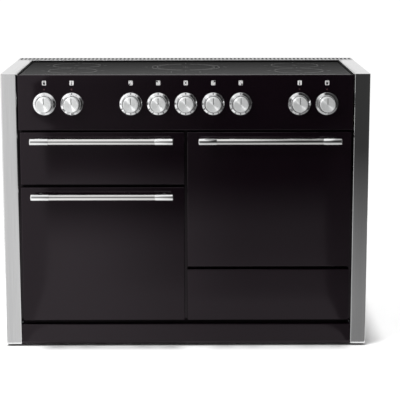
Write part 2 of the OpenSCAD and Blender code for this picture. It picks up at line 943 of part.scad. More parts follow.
// An oven lamp: glass dome inside the oven's right wall, holder outside it
module oven_lamp(floor_z) {
  r = oven_lamp_d / 2 - 0.5;
  translate([-col_x + cavity_w / 2, lamp_y, floor_z + cavity_h - lamp_down])
    rotate([0, 90, 0])
      rotate_extrude()
        polygon([
          [0, -9], [0.6 * r, -7], [0.9 * r, -3], [r, 0], [r, sheet],
          [r + 4.5, sheet], [r + 4.5, sheet + wool_t + 2], [0, sheet + wool_t + 2],
        ]);
}

module oven_lamps() {
  color([0.90, 0.88, 0.80]) {
    oven_lamp(left_floor);
    mirror([1, 0, 0])
      oven_lamp(right_floor);
  }
}

module rotary_switches() {
  color([0.85, 0.85, 0.82])
    for (x = knob_places)
      difference() {
        span([x - switch_w / 2, y_front + sheet, knob_z - switch_w / 2],
          [x + switch_w / 2, y_front + sheet + switch_d, knob_z + switch_w / 2]);
        rod_y([x, y_front, knob_z], spindle_d + 2 * running, sheet + bore_l);
      }
}

module indicator_lamps() {
  lens_out = 0.8;
  holder_l = 14;
  color([0.45, 0.16, 0.12])
    for (x = lamp_places) {
      rod_y([x, y_front - lens_out, lamp_z], lens_d, lens_out + sheet + holder_l);
      rod_y([x, y_front + sheet, lamp_z], lens_d + 4, holder_l);
    }
}

// Turned shapes on the panel stand with +Z outwards and are laid over to face -Y
module on_panel(x, z) {
  translate([x, y_front, z])
    rotate([90, 0, 0])
      children();
}

module knob_bezels() {
  inner = knob_d / 2 + bezel_gap;
  rim_h = 2.6;
  rim_r = 0.8;
  lip_w = 3;
  color(polished)
    for (x = knob_places)
      on_panel(x, knob_z)
        rotate_extrude()
          polygon([
            [inner, 0], [bezel_d / 2, 0], [bezel_d / 2, rim_h], [bezel_d / 2 - rim_r, rim_h + rim_r],
            [inner + lip_w, bezel_h - rim_r], [inner + lip_w / 2, bezel_h], [inner, bezel_h - rim_r],
          ]);
}

// A spun knob with a pointer groove from its middle to its top edge, and its spindle
module knob(i) {
  r = knob_d / 2;
  base = 1;
  dish = 0.7;
  groove_w = 1.4;
  groove_t = 0.8;
  x = knob_places[i - 1];
  color([0.78, 0.78, 0.79]) {
    difference() {
      on_panel(x, knob_z)
        rotate_extrude()
          polygon([
            [0, base], [r - 0.8, base], [r - 0.2, 0.7 * knob_l], [r - 0.9, knob_l - 2],
            [r - 2.4, knob_l - 0.6], [r - 4.2, knob_l], [0, knob_l - dish],
          ]);
      span([x - groove_w / 2, y_front - knob_l - cut, knob_z + 3],
        [x + groove_w / 2, y_front - knob_l + groove_t, knob_z + r + cut]);
    }
    rod_y([x, y_front - base - cut, knob_z], spindle_d, base + cut + sheet + bore_l - 3);
  }
}

module knob_1() { knob(1); }
module knob_2() { knob(2); }
module knob_3() { knob(3); }
module knob_4() { knob(4); }
module knob_5() { knob(5); }
module knob_6() { knob(6); }
module knob_7() { knob(7); }
module knob_8() { knob(8); }
module knob_9() { knob(9); }

module door_seals() {
  margin = 6;
  band = 8;
  t = frame_gap - slide_gap;
  color(seal_black)
    for (at = [[-col_x, left_floor], [col_x, right_floor]])
      translate([at[0], frame_y - t, at[1]])
        difference() {
          span([-cavity_w / 2 - margin - band, 0, -margin - band],
            [cavity_w / 2 + margin + band, t, cavity_h + margin + band]);
          span([-cavity_w / 2 - margin, -cut, -margin], [cavity_w / 2 + margin, t + cut, cavity_h + margin]);
        }
}

// The box behind the back panel where the supply cable is connected
module terminal_box() {
  box_t = 60;
  box_hh = 45;
  wall = 2;
  block = [80, 19, 24];
  inner_back = y_back - sheet;
  color([0.15, 0.15, 0.16])
    translate([entry_x, 0, entry_z])
      difference() {
        union() {
          difference() {
            span([-terminal_w / 2, inner_back - box_t, -box_hh], [terminal_w / 2, inner_back, box_hh]);
            span([-terminal_w / 2 + wall, inner_back - box_t + wall, -box_hh + wall],
              [terminal_w / 2 - wall, inner_back - wall, box_hh - wall]);
          }
          translate([-block[0] / 2, inner_back - box_t + wall / 2, -block[2] / 2])
            cube(block);
          rod_y([0, y_back - gland_l, 0], gland_d, gland_l);
        }
        rod_y([0, y_back - gland_l - cut, 0], entry_d, gland_l + 2 * cut);
      }
}

// Cross-sections of a three-part runner on a left-hand wall at x = 0; each runs l along +Y
module runner_fixed(l) {
  in = runner_w - slide_gap;
  span([0, 0, -runner_h / 2], [sheet, l, runner_h / 2]);
  span([0, 0, runner_h / 2 - sheet], [in, l, runner_h / 2]);
  span([0, 0, -runner_h / 2], [in, l, -runner_h / 2 + sheet]);
}

module runner_middle(l) {
  x = sheet + slide_gap;
  h = runner_h / 2 - x;
  in = runner_w - slide_gap;
  span([x, 0, -h], [x + sheet, l, h]);
  span([x, 0, h - sheet], [in, l, h]);
  span([x, 0, -h], [in, l, -h + sheet]);
}

module runner_inner(l) {
  x = 2 * (sheet + slide_gap);
  h = runner_h / 2 - x;
  span([runner_w - sheet, 0, -h], [runner_w, l, h]);
  span([x, 0, h - sheet], [runner_w, l, h]);
  span([x, 0, -h], [runner_w, l, -h + sheet]);
}

// Draws its child at the left wall of a space and mirrored at its right wall
module both_walls(x, y, z, w) {
  translate([x, y, z]) {
    translate([-w / 2, 0, 0])
      children();
    mirror([1, 0, 0])
      translate([-w / 2, 0, 0])
        children();
  }
}

module runner_rails() {
  color(zinc) {
    both_walls(-col_x, mouth_y + 1, grill_runner_z, grill_w)
      runner_fixed(grill_runner_l);
    both_walls(col_x, mouth_y + 1, store_runner_z, store_w)
      runner_fixed(store_runner_l);
  }
}

module grill_runner_middles() {
  color(steel)
    both_walls(-col_x, mouth_y + 1, grill_runner_z, grill_w)
      runner_middle(grill_runner_l - 10);
}

module storage_runner_middles() {
  color(steel)
    both_walls(col_x, mouth_y + 1, store_runner_z, store_w)
      runner_middle(store_runner_l - 10);
}

// The enamelled outer tray of a door or front; the origin is the lower middle of its face
module front_tray(h) {
  t = front_t - sheet;
  difference() {
    rounded_slab(door_w, h, t, edge_r);
    span([-door_w / 2 + sheet, sheet, sheet], [door_w / 2 - sheet, t + cut, h - sheet]);
  }
}

// The notches in a door's lower edge where the hinge tongues swing
module hinge_notches() {
  for (s = [-1, 1])
    span([s * hinge_x - notch_w / 2, hinge_in - notch_r, -cut],
      [s * hinge_x + notch_w / 2, front_t + plug_t + cut, hinge_up + notch_r]);
}

module door_panel() {
  color(enamel)
    difference() {
      front_tray(door_h);
      hinge_notches();
    }
}

// The inside of a door: back plate with a raised field, stiffening rim, hinge cheeks and pins
module door_liner() {
  t = front_t - sheet;
  in = sheet + slide_gap;
  color(liner_grey) {
    difference() {
      union() {
        span([-door_w / 2, t, 0], [door_w / 2, front_t, door_h]);
        span([-cavity_w / 2, front_t - sheet, door_margin],
          [cavity_w / 2, front_t + plug_t, door_h - door_margin]);
        difference() {
          span([-door_w / 2 + in, t - rim_d, in], [door_w / 2 - in, t + sheet / 2, door_h - in]);
          span([-door_w / 2 + in + sheet, t - rim_d - cut, in + sheet],
            [door_w / 2 - in - sheet, t, door_h - in - sheet]);
        }
        for (s = [-1, 1], side = [-1, 1])
          translate([s * hinge_x + side * (notch_w + cheek_t) / 2, 0, 0])
            span([-cheek_t / 2, hinge_in - notch_r, in], [cheek_t / 2, t + sheet / 2, cheek_h]);
      }
      hinge_notches();
      span([-cavity_w / 2 + sheet, t - cut, door_margin + sheet],
        [cavity_w / 2 - sheet, front_t + plug_t - sheet, door_h - door_margin - sheet]);
    }
    for (s = [-1, 1])
      rod_x([s * hinge_x - notch_w / 2 - cheek_t / 2, hinge_in, hinge_up], pin_d, notch_w + cheek_t);
  }
}

// A tubular handle with turned ferrules on two stems; the origin is on its axis, in the middle
module handle() {
  r = ferrule_d / 2;
  stem_x = handle_l / 2 - ferrule_l / 2;
  color(polished) {
    rod_x([-handle_l / 2 + ferrule_l / 2, 0, 0], bar_d, handle_l - ferrule_l);
    for (s = [-1, 1]) {
      translate([s * (handle_l / 2 - ferrule_l), 0, 0])
        rotate([0, s * 90, 0])
          rotate_extrude()
            polygon(concat(
              [[0, 0], [r - 0.6, 0], [r, 0.6]],
              arc(r - 3, ferrule_l - 3, 3, 0, 90, 4),
              [[0, ferrule_l]]
            ));
      rod_y([s * stem_x, 0, 0], stem_d, handle_off);
    }
  }
}

module door_handle(top_z) {
  translate([0, -handle_off, top_z - handle_drop])
    handle();
}

module at_left() {
  translate([-col_x, y_front, left_z])
    children();
}

module at_right() {
  translate([col_x, y_front, right_z])
    children();
}

module left_door_panel() {
  at_left()
    door_panel();
}

module left_door_liner() {
  at_left()
    door_liner();
}

module left_door_handle() {
  at_left()
    door_handle(door_h);
}

module right_door_panel() {
  at_right()
    door_panel();
}

module right_door_liner() {
  at_right()
    door_liner();
}

module right_door_handle() {
  at_right()
    door_handle(door_h);
}

module grill_front() {
  color(enamel)
    translate([-col_x, y_front, grill_z])
      front_tray(small_h);
}

module grill_handle() {
  translate([-col_x, y_front, grill_z])
    door_handle(small_h);
}

module storage_front() {
  color(enamel)
    translate([col_x, y_front, store_z])
      front_tray(small_h);
}

// The plate that closes the back of a pull-out front
module back_plate(x, z) {
  in = 1;
  span([x - door_w / 2 + in, fronts_back - sheet, z + in],
    [x + door_w / 2 - in, fronts_back, z + small_h - in]);
}

// The pull-out frame that carries the grill pan on two ledges
module grill_carriage() {
  side_x = grill_w / 2 - runner_w;
  side_h = 20;
  ledge = 13;
  back = fronts_back + pan_l + 30;
  color(steel) {
    back_plate(-col_x, grill_z);
    both_walls(-col_x, fronts_back - sheet, grill_runner_z, grill_w)
      runner_inner(grill_runner_l - 10);
    both_walls(-col_x, fronts_back - sheet, grill_runner_z, grill_w) {
      span([runner_w, 0, -side_h], [runner_w + sheet, back - fronts_back + sheet, side_h]);
      span([runner_w, 0, -sheet], [runner_w + ledge, back - fronts_back + sheet, 0]);
    }
    span([-col_x - side_x, back - sheet, grill_runner_z - side_h],
      [-col_x + side_x, back, grill_runner_z]);
  }
}

// The grill pan with its rim on the carriage's ledges, and the wire trivet on the rim
module grill_pan() {
  rim_w = 11;
  body_x = grill_w / 2 - runner_w - 18;
  y0 = fronts_back + 10;
  y1 = y0 + pan_l;
  z = grill_runner_z;
  trivet_z = z + sheet + 1.5 + slide_gap;
  wire_d = 3;
  wires = 11;
  trivet_x = body_x + 5;
  trivet_in = 22;
  leg_in = 35;
  leg_end = 16;
  pitch = (pan_l - 2 * trivet_in) / (wires - 1);
  color(liner_grey)
    difference() {
      union() {
        span([-col_x - body_x, y0 + rim_w, z - pan_h], [-col_x + body_x, y1 - rim_w, z]);
        span([-col_x - body_x - rim_w, y0, z], [-col_x + body_x + rim_w, y1, z + sheet]);
      }
      span([-col_x - body_x + sheet, y0 + rim_w + sheet, z - pan_h + sheet],
        [-col_x + body_x - sheet, y1 - rim_w - sheet, z + sheet + cut]);
    }
  color(steel) {
    for (i = [0:wires - 1])
      rod_x([-col_x - trivet_x, y0 + trivet_in + i * pitch, trivet_z], wire_d, 2 * trivet_x);
    for (s = [-1, 1])
      rod_y([-col_x + s * (trivet_x - leg_in), y0 + leg_end, trivet_z - wire_d],
        wire_d + 1, pan_l - 2 * leg_end);
  }
}

// The storage drawer's box between its runners
module storage_box() {
  x = store_w / 2 - runner_w;
  z = store_floor + 8;
  depth = store_runner_l - 15;
  color(zinc) {
    back_plate(col_x, store_z);
    difference() {
      span([col_x - x, fronts_back - sheet / 2, z], [col_x + x, fronts_back + depth, z + box_h]);
      span([col_x - x + sheet, fronts_back, z + sheet],
        [col_x + x - sheet, fronts_back + depth - sheet, z + box_h + cut]);
    }
    both_walls(col_x, fronts_back - sheet, store_runner_z, store_w)
      runner_inner(store_runner_l - 10);
  }
}

module foot(x, y) {
  color(seal_black)
    translate([x, y, 0]) {
      cylinder(d = foot_d, h = foot_gap);
      cylinder(d = stud_d, h = foot_gap + stud_l);
    }
}

module foot_front_left() { foot(-foot_x, foot_ys[0]); }
module foot_front_right() { foot(foot_x, foot_ys[0]); }
module foot_rear_left() { foot(-foot_x, foot_ys[1]); }
module foot_rear_right() { foot(foot_x, foot_ys[1]); }

base_frame();
side_panel_left();
side_panel_right();
back_panel();
front_frame();
control_panel();
plinth();
vent_rail();
hob_glass();
glass_seal();
coil_tray();
induction_coils();
power_boards();
blower_housing();
grill_chamber();
oven_cavity_left();
oven_cavity_right();
drawer_housing();
oven_insulation();
heating_elements();
fan_baffles();
fan_motors();
oven_shelves();
oven_lamps();
rotary_switches();
indicator_lamps();
knob_bezels();
door_seals();
terminal_box();
runner_rails();
knob_1();
knob_2();
knob_3();
knob_4();
knob_5();
knob_6();
knob_7();
knob_8();
knob_9();
left_door_panel();
left_door_liner();
left_door_handle();
right_door_panel();
right_door_liner();
right_door_handle();
grill_front();
grill_handle();
grill_carriage();
grill_pan();
grill_runner_middles();
storage_front();
storage_box();
storage_runner_middles();
oven_fan_left();
oven_fan_right();
blower_wheel();
foot_front_left();
foot_front_right();
foot_rear_left();
foot_rear_right();
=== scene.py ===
"""Induction range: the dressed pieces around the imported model, with a studio and a camera."""
import json
import logging
import math
from collections.abc import Callable, Iterable, Sequence
from dataclasses import dataclass
from enum import Enum
from functools import cache

import bmesh
import bpy
from mathutils import Matrix, Vector

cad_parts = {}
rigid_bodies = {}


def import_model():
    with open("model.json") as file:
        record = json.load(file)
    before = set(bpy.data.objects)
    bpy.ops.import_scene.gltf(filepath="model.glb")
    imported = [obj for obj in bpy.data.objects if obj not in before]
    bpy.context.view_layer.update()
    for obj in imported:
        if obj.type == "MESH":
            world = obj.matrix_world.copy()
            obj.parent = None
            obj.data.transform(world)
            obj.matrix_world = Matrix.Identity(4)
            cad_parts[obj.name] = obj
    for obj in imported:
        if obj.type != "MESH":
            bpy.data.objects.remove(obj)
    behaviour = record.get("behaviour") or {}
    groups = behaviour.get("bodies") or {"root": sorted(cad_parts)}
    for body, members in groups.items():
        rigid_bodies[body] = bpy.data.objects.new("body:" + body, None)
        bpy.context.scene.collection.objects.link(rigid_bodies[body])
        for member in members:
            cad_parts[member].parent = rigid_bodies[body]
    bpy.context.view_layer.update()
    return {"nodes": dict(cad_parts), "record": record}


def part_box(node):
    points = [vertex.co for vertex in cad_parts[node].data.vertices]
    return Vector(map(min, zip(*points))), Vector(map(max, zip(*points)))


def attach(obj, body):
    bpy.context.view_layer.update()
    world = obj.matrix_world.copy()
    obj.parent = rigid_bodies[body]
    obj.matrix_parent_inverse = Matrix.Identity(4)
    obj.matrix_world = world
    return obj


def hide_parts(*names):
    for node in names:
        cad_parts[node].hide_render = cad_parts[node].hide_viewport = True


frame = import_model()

LOG = logging.getLogger("range")
MM = 0.001
Colour = tuple[float, float, float]
Outline = list[tuple[float, float]]
Socket = bpy.types.NodeSocket
Shape = bmesh.types.BMesh


class Body(str, Enum):
    """The bodies that the dressed pieces ride on, apart from the numbered knobs."""

    CHASSIS = "chassis"
    LEFT_DOOR = "left_door"
    RIGHT_DOOR = "right_door"
    GRILL = "grill_drawer"
    STORAGE = "storage_drawer"


class Grain(Enum):
    """The direction in which a brushed surface runs, as the stretch of its streaks along X, Y and Z."""

    ACROSS = (6.0, 900.0, 900.0)
    DEEP = (900.0, 6.0, 900.0)
    UPRIGHT = (900.0, 900.0, 6.0)


class Dial(Enum):
    """What a knob's bezel is marked with."""

    HEAT = "heat"
    WARMTH = "warmth"
    SELECT = "select"


# Shader graphs


class Graph:
    """A material's nodes around one Principled shader, with short calls to add and join them."""

    def __init__(self, name: str) -> None:
        """Starts an empty graph.

        Args:
            name: The material's name.
        """
        self.material = bpy.data.materials.new(name)
        self.material.use_nodes = True
        self.tree = self.material.node_tree
        self.shader = self.tree.nodes["Principled BSDF"]
        self.place = self.add("ShaderNodeTexCoord").outputs["Object"]

    def add(self, kind: str, inputs: dict | None = None, **settings: object) -> bpy.types.Node:
        """Adds a node.

        Args:
            kind: The node's type name.
            inputs: Input names or numbers, with a value or a socket for each.
            **settings: Properties of the node.

        Returns:
            The new node.
        """
        node = self.tree.nodes.new(kind)
        for key, value in settings.items():
            setattr(node, key, value)
        for key, value in (inputs or {}).items():
            self.feed(node.inputs[key], value)
        return node

    def feed(self, socket: Socket, value: object) -> None:
        """Gives an input a value, or links it to a socket.

        Args:
            socket: The input.
            value: A value or a socket.
        """
        if isinstance(value, Socket):
            self.tree.links.new(value, socket)
        else:
            socket.default_value = value

    def set(self, **inputs: object) -> None:
        """Feeds the shader's inputs, named with underscores for spaces.

        Args:
            **inputs: A value, a colour or a socket for each input.
        """
        for key, value in inputs.items():
            name = key.replace("_", " ")
            self.feed(self.shader.inputs[name], (*value, 1.0) if isinstance(value, tuple) else value)

    def stretched(self, stretch: Sequence[float]) -> Socket:
        """Object coordinates scaled by a factor on each axis."""
        return self.add("ShaderNodeMapping", {"Vector": self.place, "Scale": stretch}).outputs[0]

    def noise(self, scale: float, detail: float = 2.0, stretch: Sequence[float] = (1, 1, 1)) -> Socket:
        """Fractal noise.

        Args:
            scale: Features in a metre.
            detail: Octaves.
            stretch: Factors on the coordinates.

        Returns:
            The noise's value.
        """
        inputs = {"Vector": self.stretched(stretch), "Scale": scale, "Detail": detail}
        return self.add("ShaderNodeTexNoise", inputs).outputs["Fac"]

    def span(self, value: Socket, low: float, high: float, out: tuple[float, float]) -> Socket:
        """Maps a value from low..high to a range, and holds it there."""
        inputs = {"Value": value, "From Min": low, "From Max": high, "To Min": out[0], "To Max": out[1]}
        return self.add("ShaderNodeMapRange", inputs).outputs[0]

    def mix(self, share: object, first: object, second: object) -> Socket:
        """Mixes two colours.

        Args:
            share: The second one's share.
            first: A colour or a socket.
            second: A colour or a socket.

        Returns:
            The mixed colour.
        """
        node = self.add("ShaderNodeMix", data_type="RGBA")
        self.feed(node.inputs["Factor"], share)
        for socket, value in ((node.inputs[6], first), (node.inputs[7], second)):
            self.feed(socket, (*value, 1.0) if isinstance(value, tuple) else value)
        return node.outputs[2]

    def math(self, operation: str, *values: object) -> Socket:
        """One arithmetic node."""
        return self.add("ShaderNodeMath", dict(enumerate(values)), operation=operation).outputs[0]

    def axes(self) -> bpy.types.bpy_prop_collection:
        """The object coordinates' X, Y and Z, one by one."""
        return self.add("ShaderNodeSeparateXYZ", {0: self.place}).outputs

    def bump(self, height: Socket, strength: float, depth: float) -> None:
        """Sets the shader's normal from a height.

        Args:
            height: The height's socket.
            strength: Share of the effect.
            depth: Height of a full step, in metres.
        """
        node = self.add("ShaderNodeBump", {"Height": height, "Strength": strength, "Distance": depth})
        self.set(Normal=node.outputs[0])


def shade(tint: Colour, factor: float) -> Colour:
    """A colour made lighter or darker."""
    return tuple(min(1.0, c * factor) for c in tint)


@dataclass(frozen=True)
class Finish:
    """A surface finish, made into a material once."""

    name: str
    tint: Colour
    rough: float

    def draw(self, graph: Graph) -> None:
        """Builds the finish's nodes; each kind of finish has its own."""
        raise NotImplementedError

    def tinted(self, graph: Graph, share: Socket, low: float, high: float) -> Socket:
        """The tint, between a darker and a lighter one."""
        return graph.mix(share, shade(self.tint, low), shade(self.tint, high))

    @cache
    def material(self) -> bpy.types.Material:
        """The finish's material, made at the first call.

        Returns:
            The material.
        """
        graph = Graph(self.name)
        self.draw(graph)
        LOG.info("finish %s made", self.name)
        return graph.material


@dataclass(frozen=True)
class Enamel(Finish):
    """Vitreous enamel: a glassy coat with a faint orange peel, and specks in an oven."""

    specular: float = 0.5
    gleam: Colour = (1.0, 1.0, 1.0)
    peel: float = 0.05
    specks: float = 0.0

    def draw(self, graph: Graph) -> None:
        """Builds the nodes.

        Args:
            graph: The material's graph.
        """
        cloud = graph.noise(3.0, 3.0)
        colour = self.tinted(graph, cloud, 0.8, 1.2)
        if self.specks:
            cells = graph.add("ShaderNodeTexVoronoi", {"Vector": graph.place, "Scale": 420.0})
            dots = graph.span(cells.outputs["Distance"], 0.16, 0.24, (self.specks, 0.0))
            thin = graph.span(graph.noise(150.0), 0.52, 0.58, (0.0, 1.0))
            colour = graph.mix(graph.math("MULTIPLY", dots, thin), colour, (0.45, 0.47, 0.5))
        smear = graph.span(graph.noise(14.0, 4.0), 0.3, 0.7, (self.rough * 0.8, self.rough * 1.25))
        graph.set(Base_Color=colour, Roughness=smear, Specular_Tint=self.gleam)
        graph.shader.inputs["Specular IOR Level"].default_value = self.specular
        graph.bump(graph.noise(130.0, 2.0), self.peel, 0.0006)


@dataclass(frozen=True)
class Metal(Finish):
    """Bare metal with a grain of fine streaks, or a clouded one where it has none.

    A spread widens the highlights along X, across a grain that runs along Y.
    """

    grain: Grain | None = None
    streak: float = 0.12
    depth: float = 0.00006
    spread: float = 0.0

    def draw(self, graph: Graph) -> None:
        """Builds the nodes.

        Args:
            graph: The material's graph.
        """
        if self.grain is None:
            fine = graph.noise(90.0, 4.0)
            broad = graph.noise(9.0, 3.0)
        else:
            fine = graph.noise(1.0, 3.0, self.grain.value)
            broad = graph.noise(0.06, 2.0, self.grain.value)
        tone = graph.math("MULTIPLY_ADD", broad, 0.4, graph.math("MULTIPLY", fine, 0.6))
        share = graph.span(tone, 0.3, 0.7, (0.0, 1.0))
        colour = self.tinted(graph, share, 1 - self.streak, 1 + self.streak / 2)
        graph.set(Base_Color=colour, Metallic=1.0)
        graph.set(Roughness=graph.span(tone, 0.3, 0.7, (self.rough * 1.15, self.rough * 0.85)))
        if self.spread:
            graph.shader.inputs["Anisotropic"].default_value = self.spread
            graph.set(Tangent=graph.add("ShaderNodeCombineXYZ", {"X": 1.0}).outputs[0])
        graph.bump(fine, 0.35, self.depth)


@dataclass(frozen=True)
class Spun(Finish):
    """Aluminium turned on a lathe about an axis along Y: rings, and highlights that fan out."""

    bare: float = 0.62
    stretch: float = 0.93

    def draw(self, graph: Graph) -> None:
        """Builds the nodes.

        Args:
            graph: The material's graph.
        """
        centred = graph.add("ShaderNodeTexCoord").outputs["Generated"]
        parts = graph.add("ShaderNodeSeparateXYZ", {0: centred}).outputs
        offsets = [graph.math("SUBTRACT", parts[axis], 0.5) for axis in "XZ"]
        squares = [graph.math("POWER", offset, 2.0) for offset in offsets]
        radius = graph.math("SQRT", graph.math("ADD", *squares))
        rings = graph.add("ShaderNodeTexNoise", {"W": radius, "Scale": 90.0, "Detail": 3.0},
                          noise_dimensions="1D")
        share = graph.span(rings.outputs["Fac"], 0.35, 0.65, (0.0, 1.0))
        graph.set(Base_Color=self.tinted(graph, share, 0.93, 1.04))
        graph.shader.inputs["Metallic"].default_value = self.bare
        graph.set(Roughness=graph.span(rings.outputs["Fac"], 0.3, 0.7, (self.rough * 1.1, self.rough * 0.9)))
        graph.shader.inputs["Anisotropic"].default_value = self.stretch
        graph.shader.inputs["Anisotropic Rotation"].default_value = 0.25
        tangent = graph.add("ShaderNodeTangent", direction_type="RADIAL", axis="Y")
        graph.set(Tangent=tangent.outputs[0])


@dataclass(frozen=True)
class Moulded(Finish):
    """Plastic, rubber, printed ink or fibre: a dull body with a fine grain."""

    grit: float = 700.0
    depth: float = 0.0001
    vary: float = 0.15
    specular: float = 0.4

    def draw(self, graph: Graph) -> None:
        """Builds the nodes.

        Args:
            graph: The material's graph.
        """
        grit = graph.noise(self.grit, 3.0)
        cloud = graph.noise(18.0, 3.0)
        graph.set(Base_Color=self.tinted(graph, cloud, 1 - self.vary, 1 + self.vary))
        graph.set(Roughness=graph.span(grit, 0.3, 0.7, (self.rough * 0.9, min(1.0, self.rough * 1.1))))
        graph.shader.inputs["Specular IOR Level"].default_value = self.specular
        graph.bump(grit, 0.3, self.depth)


@dataclass(frozen=True)
class GlassCeramic(Finish):
    """The hob's black glass, dark right through, with faint smears on the polish."""

    def draw(self, graph: Graph) -> None:
        """Builds the nodes.

        Args:
            graph: The material's graph.
        """
        smear = graph.noise(7.0, 5.0, (1.0, 2.5, 1.0))
        graph.set(Base_Color=self.tinted(graph, smear, 0.85, 1.15))
        graph.set(Roughness=graph.span(smear, 0.35, 0.7, (self.rough * 0.7, self.rough * 1.5)))
        graph.bump(graph.noise(60.0, 1.0), 0.02, 0.0002)


@dataclass(frozen=True)
class Winding(Finish):
    """Wound copper wire, shown as fine raised bands."""

    pitch: float = 0.0028

    def draw(self, graph: Graph) -> None:
        """Builds the nodes.

        Args:
            graph: The material's graph.
        """
        shift = graph.noise(40.0, 2.0)
        inputs = {"Vector": graph.place, "Scale": 0.16 / self.pitch, "Distortion": 0.5}
        bands = graph.add("ShaderNodeTexWave", inputs, wave_type="BANDS", bands_direction="X")
        graph.set(Base_Color=self.tinted(graph, shift, 0.75, 1.1), Metallic=0.8)
        graph.set(Roughness=graph.span(bands.outputs["Fac"], 0.0, 1.0, (self.rough, self.rough * 1.6)))
        graph.bump(bands.outputs["Fac"], 0.6, 0.0008)


@dataclass(frozen=True)
class ClearGlass(Finish):
    """Clear or coloured glass of a lamp or lens, with a fine moulded ripple."""

    clear: float = 0.8

    def draw(self, graph: Graph) -> None:
        """Builds the nodes.

        Args:
            graph: The material's graph.
        """
        ripple = graph.noise(260.0, 2.0)
        graph.set(Base_Color=self.tinted(graph, ripple, 0.9, 1.0), Roughness=self.rough)
        graph.shader.inputs["Transmission Weight"].default_value = self.clear
        graph.bump(ripple, 0.1, 0.0004)


BLACK_ENAMEL = Enamel("black_enamel", (0.0034, 0.0016, 0.0029), 0.11, 0.35, (1.0, 0.88, 0.96), peel=0.03)
OVEN_ENAMEL = Enamel("oven_enamel", (0.035, 0.036, 0.045), 0.2, peel=0.12, specks=0.5)
STEEL_UPRIGHT = Metal("brushed_steel_upright", (0.76, 0.76, 0.765), 0.1, Grain.UPRIGHT, depth=0.00001)
STEEL_ACROSS = Metal("brushed_steel_across", (0.60, 0.60, 0.605), 0.3, Grain.ACROSS)
STEEL_DEEP = Metal("brushed_steel_deep", (0.9, 0.9, 0.905), 0.12, Grain.DEEP, streak=0.06, depth=0.00002,
                   spread=0.95)
POLISHED_STEEL = Metal("polished_steel", (0.84, 0.84, 0.85), 0.09, streak=0.04, depth=0.00002)
POLISHED_BAR = Metal("polished_bar", (0.80, 0.79, 0.78), 0.16, Grain.ACROSS, streak=0.06, depth=0.00003)
POLISHED_END = Metal("polished_ferrule", (0.94, 0.94, 0.94), 0.1, streak=0.03, depth=0.00002)
SPUN_ALUMINIUM = Spun("spun_aluminium", (0.88, 0.89, 0.89), 0.4)
ZINC = Metal("zinc_plate", (0.52, 0.54, 0.56), 0.38, streak=0.22)
DARK_METAL = Metal("oxidised_tube", (0.22, 0.215, 0.215), 0.42, streak=0.3)
CHROMED = Metal("chromed_wire", (0.78, 0.78, 0.79), 0.14, streak=0.05)
HOB_GLASS = GlassCeramic("hob_glass", (0.004, 0.004, 0.0042), 0.05)
RUBBER = Moulded("seal_rubber", (0.003, 0.003, 0.003), 0.75, specular=0.08)
BLACK_PLASTIC = Moulded("black_plastic", (0.02, 0.02, 0.021), 0.45)
SWITCH_PLASTIC = Moulded("switch_plastic", (0.72, 0.71, 0.66), 0.4)
WOOL = Moulded("mineral_wool", (0.62, 0.55, 0.36), 0.95, grit=320.0, depth=0.002, vary=0.25)
BOARD = Moulded("circuit_board", (0.02, 0.14, 0.06), 0.35, grit=240.0, depth=0.0003)
COPPER = Winding("copper_coil", (0.62, 0.30, 0.16), 0.32)
LAMP_GLASS = ClearGlass("lamp_glass", (0.92, 0.91, 0.86), 0.06)
NEON = ClearGlass("neon_lens", (0.09, 0.035, 0.04), 0.12, clear=0.35)
PALE_INK = Moulded("pale_print", (0.62, 0.61, 0.61), 0.5, depth=0.00002, vary=0.08)
DARK_INK = Moulded("dark_print", (0.012, 0.012, 0.013), 0.5, depth=0.00002, vary=0.2)
GLASS_INK = Moulded("glass_print", (0.135, 0.13, 0.13), 0.45, depth=0.00002, vary=0.1)

FINISH_OF_SLOT = {
    "black_enamel": BLACK_ENAMEL, "brushed_steel": STEEL_UPRIGHT, "polished_steel": POLISHED_STEEL,
    "polished_handle": POLISHED_BAR, "spun_aluminium": SPUN_ALUMINIUM, "plated_steel": ZINC,
    "oven_enamel": OVEN_ENAMEL, "hob_glass": HOB_GLASS, "seal_rubber": RUBBER, "copper_coil": COPPER,
    "circuit_board": BOARD, "mineral_wool": WOOL, "heater_tube": DARK_METAL, "chromed_wire": CHROMED,
    "lamp_glass": LAMP_GLASS, "switch_plastic": SWITCH_PLASTIC, "neon_lens": NEON,
    "black_plastic": BLACK_PLASTIC,
}


# Mesh helpers


def facing(x: float, y: float, z: float) -> Matrix:
    """The place of a shape drawn with local Z outwards and local Y up, laid over to face -Y."""
    return Matrix.Translation((x, y, z)) @ Matrix.Rotation(math.radians(90), 4, "X")


def arc(cx: float, cy: float, r: float, start: float, end: float, steps: int = 6) -> Outline:
    """Points on an arc.

    Args:
        cx: Centre along the first axis.
        cy: Centre along the second axis.
        r: Radius.
        start: First angle in degrees.
        end: Last angle in degrees.
        steps: Number of chords.

    Returns:
        The points, both ends included.
    """
    turns = (math.radians(start + (end - start) * i / steps) for i in range(steps + 1))
    return [(cx + r * math.cos(a), cy + r * math.sin(a)) for a in turns]


def rounded(w: float, h: float, r: float, cx: float = 0.0, cy: float = 0.0, steps: int = 5) -> Outline:
    """A rectangle's outline with round corners, about its middle.

    Args:
        w: Width.
        h: Height.
        r: Radius of the corners.
        cx: The middle along the first axis.
        cy: The middle along the second axis.
        steps: Chords of each corner.

    Returns:
        The outline's points.
    """
    x, y = w / 2 - r, h / 2 - r
    corners = ((x, y, 0), (-x, y, 90), (-x, -y, 180), (x, -y, 270))
    return [p for px, py, a in corners for p in arc(cx + px, cy + py, r, a, a + 90, steps)]


